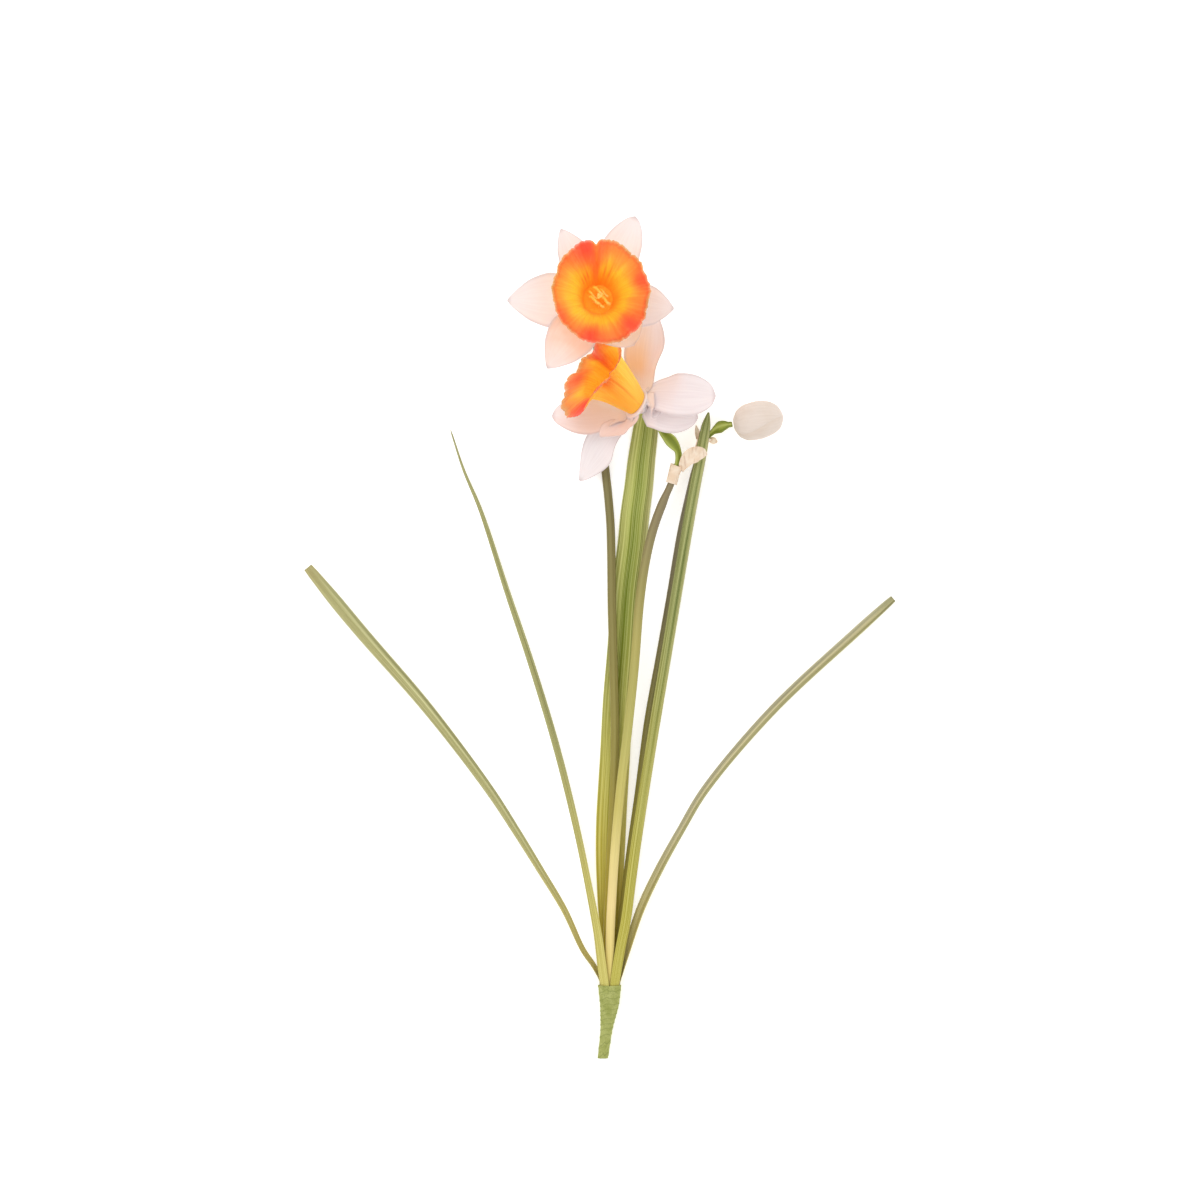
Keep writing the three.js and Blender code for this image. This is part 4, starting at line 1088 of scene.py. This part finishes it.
bloomLower = {
    "node": "bloom_lower", "hub": (18.9, 125, 21), "axis": (-0.77, 0.445, 0.454),
    "zero": (0.5, 0.866, 0), "tubeLength": 8, "rim": 24,
    "lean": [(0, 0.6), (0.2, 1.9), (0.6, 4), (0.85, 4.6), (0.94, 2.8), (1, 1.2)],
    "profile": [(0, 0.28), (0.2, 0.36), (0.6, 0.49), (0.84, 0.6), (0.93, 0.75), (1, 1)],
    "mouth": [
        (0, 24), (30, 24), (47, 23.2), (56, 20), (78, 21.4), (92, 21.2), (104, 25), (122, 25.6),
        (140, 25.7), (164, 26), (180, 25.8), (196, 24.9), (209, 22.8), (220, 19), (230, 14.8),
        (240, 14.4), (252, 16), (264, 17.8), (274, 19), (280, 18.6), (284, 17.6), (292, 22.6),
        (307, 23), (330, 23.8), (360, 24),
    ],
    "folds": [(268, 0.9, 0.12), (54, 1.0, 0.16)], "rucks": (256, 0.8, 0.35), "root": 0.62,
    "antherStretch": 1,
    # angle round the hub, bend, tip, half width, facing, cup, ripple phase, bluntness and tint
    "tepals": [
        (24, (24.2, 148, 15), (27.4, 175, 9), 13.6, (-0.6, 0.1, 0.8), 0.2, 0, 0.4, (0.45, 0.1, 1)),
        (122, (-1, 118.8, 14), (-25.5, 118.8, 14.5), 13, (-0.1, 0.5, 0.85), 0.2, 2, 0.6, (0, 0, 0)),
        (163, (5, 108, 16), (-10.8, 85.1, 0.62), 11.4, (-0.5, 0.05, 0.86), 0.12, 4, 0, (0.05, 0.5, 0)),
        (200, (9, 111.2, 25.6), (0.2, 107.2, 33), 8.5, (-0.5, 0.35, 0.8), 0.25, 1, 0.2, (0.2, 0.5, 0)),
        (290, (29.5, 120.8, 24.4), (51.5, 117.6, 22), 10.4, (0.08, 0.15, 1), 0.08, 3, 0.6,
         (0.05, 0.9, 0)),
        (325, (40, 129.2, 33.5), (60.5, 128.8, 33), 11.4, (0.05, 0.1, 1), 0.1, 5, 0.9, (0.05, 0.9, 0)),
    ],
    "inside": [
        (0.0, 255, 176, 56), (0.5, 255, 188, 54), (0.88, 255, 184, 52), (0.94, 255, 134, 54),
        (0.97, 214, 78, 42), (1.0, 150, 60, 46),
    ],
    "innerDye": {
        "gold": [(92, 0.72, 10, 0.22, 0.7), (140, 0.7, 4, 0.25, 0.6), (350, 0.8, 10, 0.3, 0.6)],
        "red": [(53, 0.92, 40, 0.26, 0.95), (112, 0.93, 14, 0.1, 0.9)],
        "scarlet": [(199, 0.93, 6, 0.19, 1.0)],
        # the crease row is painted shadow along the fold
        "crease": [(62, 0.8, 300, 0.3, 0.6)],
    },
    "outerDye": {
        # deep here is painted shade on the shaded side of the trumpet's outside, and the crease row a
        # painted shadow along its fold
        "deep": [(228, 0.45, 3, 0.5, 0.62)],
        "red": [(250, 1.0, 9, 0.26, 1.0)],
        "crease": [(266, 0.55, 500, 0.4, 0.5)],
    },
}


def petalMaterial():
    made, tree, shader = newMaterial("petalFabric", {
        "Specular IOR Level": 0.12, "Sheen Weight": 0.1, "Sheen Roughness": 0.5,
        "Subsurface Weight": 0.3, "Subsurface Radius": (1.0, 0.9, 0.85), "Subsurface Scale": 1.2 * mm,
    })
    place = readMark(tree, "place")
    across, _, along = split(place)
    blushAndShade, lilacShade, amberShade = split(readMark(tree, "tint"))
    streaks, grain = streaksOf(place, *tepal["streaks"]), grainOf(tree, *tepal["grain"])
    # Peach that fades out from the root is partly blush and partly painted shade and orange cast from
    # the trumpet.
    fade = between(along, 0.3, 1.0, 1.0, 0.25)
    warm = blushAndShade * (fade * between(grain["Mottle"], 0, 1, 0.7, 1))
    colour = mixed(warm, tepal["white"], tepal["peach"])
    # Amber on one side near the root is painted shade with the trumpet's orange cast.
    side = amberShade * between(across, -0.4, 0.5, 1, 0) * between(along, 0.12, 0.4)
    colour = mixed(side * fade, colour, tepal["amberShade"])
    # Lilac laid in broad soft streaks is painted shade.
    cool = lilacShade * between(streaks["Broad"], 0, 1, 0.4, 0.9)
    colour = mixed(cool, colour, tepal["lilacShade"])
    colour = mixed(between(along, 0.1, 0.3, 0.7, 0), colour, tepal["root"])
    colour = mixed(streaks["Fine"] * 0.12, colour, tepal["edge"], "MULTIPLY")
    # The edge colour laid on the rims and tips is painted shade.
    rim = between(calc("ABSOLUTE", across), 0.84, 1.0, 0, 0.8)
    rim = calc("MAXIMUM", rim, between(along, 0.93, 1.0, 0, 0.8))
    colour = mixed(rim, colour, tepal["edge"])
    finish(shader, tepal, colour, grain["Tooth"], streaks["Fine"] * 0.6 + grain["Tooth"] * 0.4)
    return made


def turnedPart(profile, sides):  # a solid of revolution; the profile starts and ends on the axis
    angle = turnsOf(sides)
    radius, height = np.array(profile[1:-1], float).T[:, :, None] * mm
    rows = np.stack([radius * np.cos(angle), radius * np.sin(angle), height + 0 * angle], axis=-1)
    poles = [[0, 0, profile[0][1] * mm], [0, 0, profile[-1][1] * mm]]
    points = np.vstack([rows.reshape(-1, 3), poles])
    marks = {"place": (0.0, 1.0, 0.0), "front": (0.0, 0.0, 1.0)}
    return {
        "points": points,
        "faces": tubeFaces(np.arange(radius.size * sides).reshape(radius.size, sides)),
        "marks": {name: np.tile(value, (len(points), 1)) for name, value in marks.items()},
    }


def hubPart(tubeLength):
    edge, tube, under, end = hub["radius"], hub["tube"], -hub["thickness"], -tubeLength
    return turnedPart([
        (0, end), (tube - 0.75, end), (tube - 0.6, end + 0.15), (tube, -4), (tube + 0.3, -3),
        (tube + 1, -2.4), (edge - 0.6, under), (edge - 0.1, under + 0.3), (edge, -0.7),
        (edge - 0.2, -0.15), (edge - 0.7, 0), (0, 0),
    ], hub["sides"])


def tepalPart(points, halfWidth, facing, cup, phase, blunt, tint, root):
    places = np.linspace(0, 1, 25)
    pointed = fromTable([(0, root), *tepal["outline"]], places)
    rounded = np.sqrt(np.clip(1 - np.maximum(0, (places - 0.6) / 0.4) ** 2, 0.002, 1))
    rounded = rounded * fromTable([(0, 0.36), (0.22, 0.78), (0.5, 1), (1, 1)], places)
    outline = list(zip(places, halfWidth * (pointed * (1 - blunt) + rounded * blunt)))

    def lift(side, place, width):
        ripple = tepal["wave"] * side * np.sin(9 * place + phase) * smoothStep(0.1, 0.5, place)
        dish = cup * width * side * side * smoothStep(0.1, 0.45, place)
        return dish - tepal["crown"] * (1 - side * side) + ripple

    part = bladePart(points, outline, facing, lift, tepal["thickness"], tepal["steps"], tepal["columns"])
    part["marks"]["tint"] = np.tile(tint, (len(part["points"]), 1))
    return part


def topTepal(place, look, angle, length, halfWidth, sweep, phase, blunt, tint):
    turn, lean = math.radians(angle), math.radians(sweep)

    def local(reach, rise):
        free = max(0, reach - hub["radius"])
        out = min(reach, hub["radius"]) + free * math.cos(lean) - rise * math.sin(lean)
        high = free * math.sin(lean) + rise * math.cos(lean) - tepal["footDrop"]
        return place @ (Vector((out * math.cos(turn), out * math.sin(turn), high)) * mm) / mm

    points = [local(tepal["footReach"], 0), local(hub["radius"] + 1, -0.3),
              local(length * 0.7, 0.9), local(length, 0)]
    front = local(0, 1) - local(0, 0)
    facing = [(0, look["axis"]), (0.15, look["axis"]), (0.4, front), (1, front)]
    return tepalPart(points, halfWidth, facing, look["cup"], phase, blunt, tint, look["root"])


def lowerTepal(place, look, angle, bend, tip, halfWidth, facing, cup, phase, blunt, tint):
    turn = math.radians(angle)
    foot = [place @ (Vector((reach * math.cos(turn), reach * math.sin(turn), z)) * mm) / mm
            for reach, z in ((tepal["footReach"], -tepal["footDrop"]), (9, -1.1))]
    ways = [(0, look["axis"]), (0.2, look["axis"]), (0.65, facing), (1, facing)]
    return tepalPart([*foot, bend, tip], halfWidth, ways, cup, phase, blunt, tint, look["root"])


def trumpetPart(look):
    heights = 1 - (1 - np.linspace(0, 1, trumpet["rows"] + 1)) ** 1.3
    turn, up = np.meshgrid(turnsOf(trumpet["sides"]), heights)
    pleating = 1 + trumpet["pleatShare"] * up * np.cos(trumpet["pleats"] * turn)
    radius = look["rim"] * fromTable(look["profile"], up) * pleating
    radius = radius + (fromTable(look["mouth"], np.degrees(turn)) - look["rim"]) * up**3
    for at, depth, spread in look["folds"]:
        off = np.angle(np.exp(1j * (turn - math.radians(at))))
        radius = radius - depth * up * np.exp(-((off / spread) ** 2))
    at, depth, spread = look["rucks"]  # the edge bunched up beside a fold
    off = np.angle(np.exp(1j * (turn - math.radians(at))))
    radius = radius + depth * up**5 * np.sin(trumpet["ruckWaves"] * off) * np.exp(-((off / spread) ** 2))
    z = trumpet["gap"] + up * trumpet["depth"]
    z = z + trumpet["edgeWave"] * up**4 * np.sin(trumpet["pleats"] * turn + 0.8)
    wall = trumpet["wall"] * (1 - 0.8 * smoothStep(0.97, 1, up))
    outward = ringMarks(turn, 0 * turn)
    middle = np.stack([fromTable(look["lean"], up), 0 * z, z], axis=-1)
    skins = [middle + outward * reach[..., None] for reach in (radius, radius - wall)]
    return wallPart(skins[0] * mm, skins[1] * mm, heights, outward)


dyesAndShades = {
    "outside": [
        (0.0, 255, 206, 84), (0.4, 255, 214, 96), (0.8, 255, 210, 86), (0.95, 255, 176, 54),
        (0.985, 236, 104, 52), (1.0, 180, 74, 56),
    ],
    "red": paint(228, 46, 50), "scarlet": paint(234, 32, 38), "gold": paint(255, 208, 70),
    # the crease colour is painted shadow along the folds; deep is dye inside the top trumpet and painted
    # shade on the lower trumpet's shaded outside
    "deep": paint(255, 140, 22), "crease": paint(222, 96, 36), "streak": paint(250, 170, 80),
}


def dyedAndShaded(ring, colour, patches):  # soft patches of dye and of painted shade, laid over a colour
    for shade, rows in patches.items():
        for angle, height, tightness, reach, strength in rows:
            turn = math.radians(angle)
            mask = use(dyeAndShadePatch, {
                "Ring": ring, "Direction": (math.cos(turn), math.sin(turn), 0), "Height": height,
                "Tightness": tightness, "Reach": reach,
            })["Mask"]
            colour = mixed(mask * strength, colour, dyesAndShades[shade])
    return colour


def trumpetMaterial(name, look):
    made, tree, shader = newMaterial(name, {
        "Specular IOR Level": 0.1, "Sheen Weight": 0.05, "Sheen Roughness": 0.5,
        "Subsurface Weight": 0.6, "Subsurface Radius": (1.0, 0.8, 0.6), "Subsurface Scale": 2.0 * mm,
        "Emission Color": paint(255, 150, 40), "Emission Strength": 0.08,  # painted glow: a faint orange light that lifts the shade in the cup, standing in for light through the cloth
    })
    ring, inside = readMark(tree, "ring"), split(readMark(tree, "skin"))[0]
    height = split(ring)[2]
    streaks, grain = streaksOf(ring, *trumpet["streaks"]), grainOf(tree, *trumpet["grain"])
    drift = (streaks["Broad"] - 0.5) * trumpet["drift"] * between(height, 0.75, 0.97, 1.0, 0.08)
    inner = dyedAndShaded(ring, ramp(height + drift, look["inside"]), look["innerDye"])
    outer = dyedAndShaded(ring, ramp(height + drift, dyesAndShades["outside"]), look["outerDye"])
    lines = streaks["Fine"] * between(height, 0.1, 0.6, 0.15, 0.34)
    colour = mixed(lines, mixed(inside, outer, inner), dyesAndShades["streak"], "MULTIPLY")
    finish(shader, trumpet, colour, grain["Tooth"], streaks["Fine"])
    return made


stamens = {
    "count": 6, "ring": 3.4, "turn": -24, "loose": 0.06, "filament": [(0, 0.5), (1, 0.4)],
    "filamentPath": [(0, 0, 2), (0.1, 0, 7), (0.3, 0, 12.6)],
    "anther": [(0, 0.5), (0.15, 0.95), (0.5, 0.8075), (0.85, 0.95), (1, 0.5)],
    "antherPath": [(-2.7, 0.7, 12), (-1.3, 0.8, 12.7), (0, 0, 13), (1.3, -0.8, 12.7), (2.7, -0.5, 12)],
    "style": [(0, 0.8), (0.8, 0.7), (0.88, 1.3), (0.95, 1.4), (1, 1.0)],
    "stylePath": [(0, 0, 3), (0.2, 0, 8), (0.1, 0.2, 14.4)],
    "bowlFoot": 0.4, "bowlTop": 7.5, "bowlDepth": 3, "bowlGap": 0.06, "bowlSteps": 10, "bowlSides": 96,
    "colour": paint(255, 200, 104), "light": paint(255, 214, 128),
    "shade": paint(255, 186, 62), "grain": (2200.0, 400.0, 8.0),
    "rough": (0.3, 0.7, 0.6, 0.85), "bump": (0.5, 0.2),
}


def stamenMaterial():
    # The faint orange emission is a painted glow that lifts the shade deep in the throat.
    made, tree, shader = newMaterial("stamenGold", {
        "Specular IOR Level": 0.2, "Subsurface Weight": 0.5, "Subsurface Radius": (1.0, 0.7, 0.4),
        "Subsurface Scale": 1.5 * mm, "Emission Color": paint(255, 136, 30), "Emission Strength": 0.2,
    })
    grain = grainOf(tree, *stamens["grain"])
    along = split(readMark(tree, "ring"))[2]
    colour = mixed(between(along, 0.3, 0.8), stamens["shade"], stamens["colour"])
    colour = mixed(grain["Mottle"] * between(along, 0.1, 0.4, 0, 0.5), colour, stamens["light"])
    finish(shader, stamens, colour, grain["Tooth"], grain["Tooth"])
    return made


def bossPart(look):  # fills the throat with a bowl that runs on from the trumpet's wall
    top, drop = stamens["bowlTop"], stamens["bowlDepth"]
    heights = np.linspace(0.6, top, stamens["bowlSteps"])
    walls = look["rim"] * fromTable(look["profile"], heights / trumpet["depth"])
    walls = walls - trumpet["wall"] - stamens["bowlGap"]
    slope = np.linspace(0.98, 0.1, stamens["bowlSteps"]) * math.pi / 2
    bowl = [((walls[-1] - 0.05) * math.sin(a), top - drop * math.cos(a)) for a in slope]
    foot = [(0, stamens["bowlFoot"]), (walls[0] - 0.3, stamens["bowlFoot"])]
    boss = turnedPart([*foot, *zip(walls, heights), *bowl, (0, top - drop)], stamens["bowlSides"])
    boss["points"][:, 0] += fromTable(look["lean"], boss["points"][:, 2] / mm / trumpet["depth"]) * mm
    boss["marks"]["ring"] = np.tile([1.0, 0.0, 0.0], (len(boss["points"]), 1))
    return boss


def stylePart():
    def threeLobes(turn, along):
        return 1 + 0.25 * smoothStep(0.8, 0.9, along) * np.cos(3 * turn)

    path, radii = stamens["stylePath"], stamens["style"]
    return tubePart(path, radii, steps=40, sides=18, shape=threeLobes, rounding=0.6)


def antherPart(stretch):  # lies across its filament, in a shallow S
    def oval(turn, along):
        return 1 + 0.12 * np.cos(2 * turn)

    path = [(x * stretch, y, z) for x, y, z in stamens["antherPath"]]
    return tubePart(path, stamens["anther"], steps=36, sides=18, shape=oval, rounding=0.8)


def makeStamens(name, look, matrix, material):
    filament = tubePart(stamens["filamentPath"], stamens["filament"], steps=20, sides=12)
    crown = makeObject(name, joined([filament, antherPart(look["antherStretch"])]))
    runNodes(crown, stamenRing, {
        "Count": stamens["count"], "Radius": stamens["ring"] * mm, "Splay": 0.0,
        "Turn": math.radians(stamens["turn"]), "Loose": stamens["loose"], "Material": material,
    })
    middle = makeObject(f"{name}Style", joined([bossPart(look), stylePart()]))
    middle.data.materials.append(material)
    for thing in (crown, middle):
        settle(thing, [f"{look['node']}_stamens"], matrix)


def makeBloom(name, look, makeTepal, petalFabric, stamenGold):
    matrix = bloomFrame(look["hub"], look["axis"], look["zero"])
    tepals = [makeTepal(matrix, look, *row) for row in look["tepals"]]
    perianth = makeObject(f"{name}Tepals", joined([moved(hubPart(look["tubeLength"]), matrix), *tepals]))
    runNodes(perianth, pressedLines, {
        "Lines": tepal["lines"], "Depth": tepal["lineDepth"] * mm, "Sharpness": tepal["sharpness"],
        "Waver": tepal["waver"], "Seed": tepal["seed"], "Material": petalFabric,
    })
    settle(perianth, [f"{look['node']}_perianth"])
    cup = makeObject(f"{name}Trumpet", moved(trumpetPart(look), matrix))
    runNodes(cup, frilledRim, {
        "Scallops": trumpet["scallops"], "Scallop Depth": trumpet["scallopDepth"] * mm,
        "Pleats": trumpet["finePleats"], "Pleat Depth": trumpet["finePleatDepth"] * mm,
        "Waver": trumpet["waver"], "Axis": list(Vector(look["axis"]).normalized()),
        "Material": trumpetMaterial(f"{name}Trumpet", look),
    })
    settle(cup, [f"{look['node']}_corona"])
    makeStamens(f"{name}Stamens", look, matrix, stamenGold)


petalFabric, stamenGold = petalMaterial(), stamenMaterial()
makeBloom("bloomTop", bloomTop, topTepal, petalFabric, stamenGold)
makeBloom("bloomLower", bloomLower, lowerTepal, petalFabric, stamenGold)

# Ovaries under the blooms and the bud

ovaries = {
    "bloomTopOvary": {
        "node": "bloom_top_ovary", "ridge": 0.06, "twist": 0,
        "points": [(-2.55, 174.95, 40.7), (-3.2, 173.9, 35), (-3.6, 172.4, 28), (-3.4, 170.2, 21.4)],
        "radii": [(0, 2.3), (0.3, 3.3), (0.6, 3.1), (0.85, 1.9), (1, 1.9)],
    },
    "bloomLowerOvary": {
        "node": "bloom_lower_ovary", "ridge": 0.06, "twist": 0,
        "points": [
            (25.7, 121.1, 17), (27.2, 119.6, 16.2), (32, 111.4, 15.2), (37.4, 105.6, 14.4),
            (41, 100.4, 12.6), (41.2, 94.6, 11.8), (39.8, 91, 11.6),
        ],
        "radii": [(0, 1.9), (0.3, 1.5), (0.4, 2.2), (0.54, 3.2), (0.64, 2.6), (0.74, 1.8), (1, 1.8)],
    },
    "budOvary": {
        "node": "bud_ovary", "ridge": 0.16, "twist": 5,
        "points": [
            (54.9, 107.6, 5.4), (57.6, 109.4, 5.7), (61.2, 111.9, 7), (64.8, 113.6, 8.8),
            (67.4, 114.3, 9.8), (69.8, 114.6, 10.2),
        ],
        "radii": [(0, 1.6), (0.3, 1.4), (0.46, 2.1), (0.64, 3.0), (0.8, 2.3), (0.9, 1.5), (1, 1.4)],
    },
}
ovaryCommon = {
    "rows": 70, "sides": 48, "lobes": 3, "green": paint(170, 180, 78),
    # light is a painted highlight on the ridges and dark a painted shade in the grooves, which also
    # darkens the streaks
    "light": paint(196, 204, 118), "dark": paint(128, 140, 46), "streaks": (6.0, 3.0, 4.0),
    "rough": (0, 1, 0.35, 0.5), "bump": (0.3, 0.12),
}


def ovaryMaterial():
    made, tree, shader = newMaterial("ovaryGreen", {"Specular IOR Level": 0.25})
    ring = readMark(tree, "ring")
    cos, sin, _ = split(ring)
    lobes = calc("COSINE", calc("ARCTAN2", sin, cos) * ovaryCommon["lobes"])
    streaks = streaksOf(ring, *ovaryCommon["streaks"])
    # Darker in the grooves and lighter on the ridges: painted shade and painted highlight.
    colour = mixed(between(lobes, -1, 1), ovaryCommon["dark"], ovaryCommon["green"])
    colour = mixed(between(lobes, 0.4, 1) * 0.6, colour, ovaryCommon["light"])
    colour = mixed(streaks["Fine"] * 0.3, colour, ovaryCommon["dark"], "MULTIPLY")
    finish(shader, ovaryCommon, colour, streaks["Broad"], streaks["Fine"])
    return made


ovaryGreen = ovaryMaterial()
for ovaryName, ovary in ovaries.items():
    def ovaryShape(turn, along, look=ovary):
        return 1 + look["ridge"] * np.cos(ovaryCommon["lobes"] * turn + look["twist"] * along)

    pedicel = makeObject(ovaryName, tubePart(
        ovary["points"], ovary["radii"], ovaryCommon["rows"], ovaryCommon["sides"], ovaryShape))
    pedicel.data.materials.append(ovaryGreen)
    settle(pedicel, [ovary["node"]])

# Papery sheaths: a short sleeve round each joint, with pointed flaps

sheath = {
    "wall": 0.45, "flare": [(0, 0), (0.7, 0.2), (1, 0.5)], "flapThickness": 0.35, "crumple": 0.22,
    "size": 3.2, "rows": 41, "sides": 48,
    "paper": paint(246, 228, 206), "tan": paint(236, 210, 182), "vein": paint(206, 172, 146),
    "grain": (1600.0, 300.0, 11.0), "rough": (0.3, 0.7, 0.7, 0.95), "bump": (0.6, 0.25),
}
sheaths = {
    "spatheTop": {
        "node": "spathe_top", "radius": 3.1, "seed": 1.0,
        "points": [(-2.7, 167.3, 13), (-3.2, 169.2, 18), (-3.4, 170.1, 21.5)],
        "flaps": [{
            "points": [(-5.8, 169.6, 19), (-8.4, 171.4, 26), (-9.4, 173.6, 35)],
            "halfWidth": [(0, 1.8), (0.4, 4), (0.8, 2.4), (1, 0.4)], "facing": (1, 0.1, 0.2),
        }],
    },
    "spatheLower": {
        "node": "spathe_lower", "radius": 3.0, "seed": 2.0,
        "points": [(37.6, 83.5, 11.1), (39.3, 89.4, 11.4), (40.6, 93, 11.8)],
        "flaps": [{
            "points": [
                (42.7, 90.1, 13.3), (44.2, 93.5, 15.4), (47.3, 97.2, 16.8), (51.5, 99, 16.8),
                (56.6, 98.6, 15.2),
            ],
            "halfWidth": [(0, 1.3), (0.25, 2.9), (0.6, 4.3), (0.85, 3.2), (1, 0.35)],
            "facing": (-0.2, -0.2, 1),
        }],
    },
    "spatheBud": {
        "node": "spathe_bud", "radius": 3.1, "seed": 3.0,
        "points": [(52.9, 100.9, 4.9), (54.6, 106.6, 5.2), (56.2, 108.9, 5.6)],
        "flaps": [
            {"points": [(52.2, 107.2, 5.9), (51.4, 110.6, 6.2), (50.9, 114.4, 5.8)],
             "halfWidth": [(0, 1.4), (0.5, 1.6), (1, 0.35)], "facing": (0.4, 0, 1)},
            {"points": [(57.6, 106.9, 5.0), (59.6, 106.3, 5), (62.2, 105.6, 4.4)],
             "halfWidth": [(0, 1.4), (0.5, 1.9), (1, 0.35)], "facing": (0, 0.3, 1)},
        ],
    },
}


def paperMaterial():
    made, tree, shader = newMaterial("spathePaper", {"Specular IOR Level": 0.25})
    grain = grainOf(tree, *sheath["grain"])
    where = outputOf(tree, "ShaderNodeTexCoord", key="Object")
    veins = noiseOf(where * (900, 150, 400), 1.0, 2.0, 3.0)
    colour = mixed(grain["Mottle"], sheath["paper"], sheath["tan"])
    colour = mixed(between(veins, 0.52, 0.7, 0, 0.6), colour, sheath["vein"])
    finish(shader, sheath, colour, grain["Tooth"], grain["Mottle"] + veins)
    return made


def sheathPart(look):
    places = np.linspace(0, 1, sheath["rows"])
    centre, _, sideways, upward = framesAlong(look["points"], places)
    outward = spokes(sideways, upward, turnsOf(sheath["sides"]))
    radius = look["radius"] + fromTable(sheath["flare"], places)
    skins = [centre[:, None] + outward * ((radius - inset) * mm)[:, None, None]
             for inset in (0, sheath["wall"])]
    parts = [wallPart(*skins, places, outward)]
    for flap in look["flaps"]:
        parts.append(bladePart(
            flap["points"], flap["halfWidth"], [(0, flap["facing"]), (1, flap["facing"])],
            lambda side, place, width: 0.15 * width * side * side + 0.4 * np.sin(4 * place + side),
            sheath["flapThickness"], steps=40, columns=21))
    return joined(parts)


spathePaper = paperMaterial()
for sheathName, sheathLook in sheaths.items():
    wrap = makeObject(sheathName, sheathPart(sheathLook))
    runNodes(wrap, crumpled, {
        "Size": sheath["size"] * mm, "Depth": sheath["crumple"] * mm, "Seed": sheathLook["seed"],
        "Material": spathePaper,
    })
    settle(wrap, [sheathLook["node"]])

# The bud: six tepals still wrapped round each other, so their edges wind to its point

bud = {
    "path": [(70.5, 114.9), (83.4, 116.8), (96.6, 118.7)], "radius": 10, "ridge": 0.05, "twist": 3.5,
    "seam": 0.35, "sink": 0.04, "rounding": 1.2, "steps": 120, "sides": 144,
    "radii": [(0, 3), (0.1, 7.2), (0.28, 9.6), (0.5, 10), (0.72, 9), (0.9, 6.4), (1, 2)],
    "cream": paint(228, 213, 200), "light": paint(232, 218, 207), "shade": paint(221, 203, 186),
    "edge": paint(212, 196, 184), "streaks": (8.0, 2.0, 12.0), "grain": (2400.0, 120.0, 13.0),
    "rough": (0.3, 0.7, 0.65, 0.85), "bump": (0.3, 0.12),
}


def budShape(turn, along):
    winding = 3 * turn + bud["twist"] * along
    lap = np.mod(winding / (2 * math.pi) + 0.25, 1)
    seam = np.exp(-((lap / 0.05) ** 2)) + np.exp(-(((1 - lap) / 0.02) ** 2))
    return 1 + bud["ridge"] * np.cos(winding) - bud["seam"] / bud["radius"] * seam


def budMaterial():
    made, tree, shader = newMaterial("budCream", {
        "Specular IOR Level": 0.2, "Sheen Weight": 0.1, "Sheen Roughness": 0.5,
    })
    ring = readMark(tree, "ring")
    cos, sin, along = split(ring)
    winding = calc("MULTIPLY_ADD", calc("ARCTAN2", sin, cos), 3, along * bud["twist"])
    lap = calc("FRACT", winding / (2 * math.pi) + 0.25)
    streaks, grain = streaksOf(ring, *bud["streaks"]), grainOf(tree, *bud["grain"])
    colour = mixed(grain["Mottle"], bud["cream"], bud["light"])
    colour = mixed(between(lap, 0, 0.3, 0.5, 0), colour, bud["shade"])
    colour = mixed(streaks["Fine"] * 0.15, colour, bud["edge"], "MULTIPLY")
    finish(shader, bud, colour, grain["Tooth"], streaks["Fine"])
    return made


budRest = bud["radius"] * (1 + bud["ridge"]) - bud["sink"]  # its ridges press on the table
budPart = tubePart([(x, y, budRest) for x, y in bud["path"]], bud["radii"], bud["steps"],
                   bud["sides"], budShape, bud["rounding"])
budPetals = makeObject("budPetals", budPart)
budPetals.data.materials.append(budMaterial())
settle(budPetals, ["bud_petals"])

print("all pieces settled")
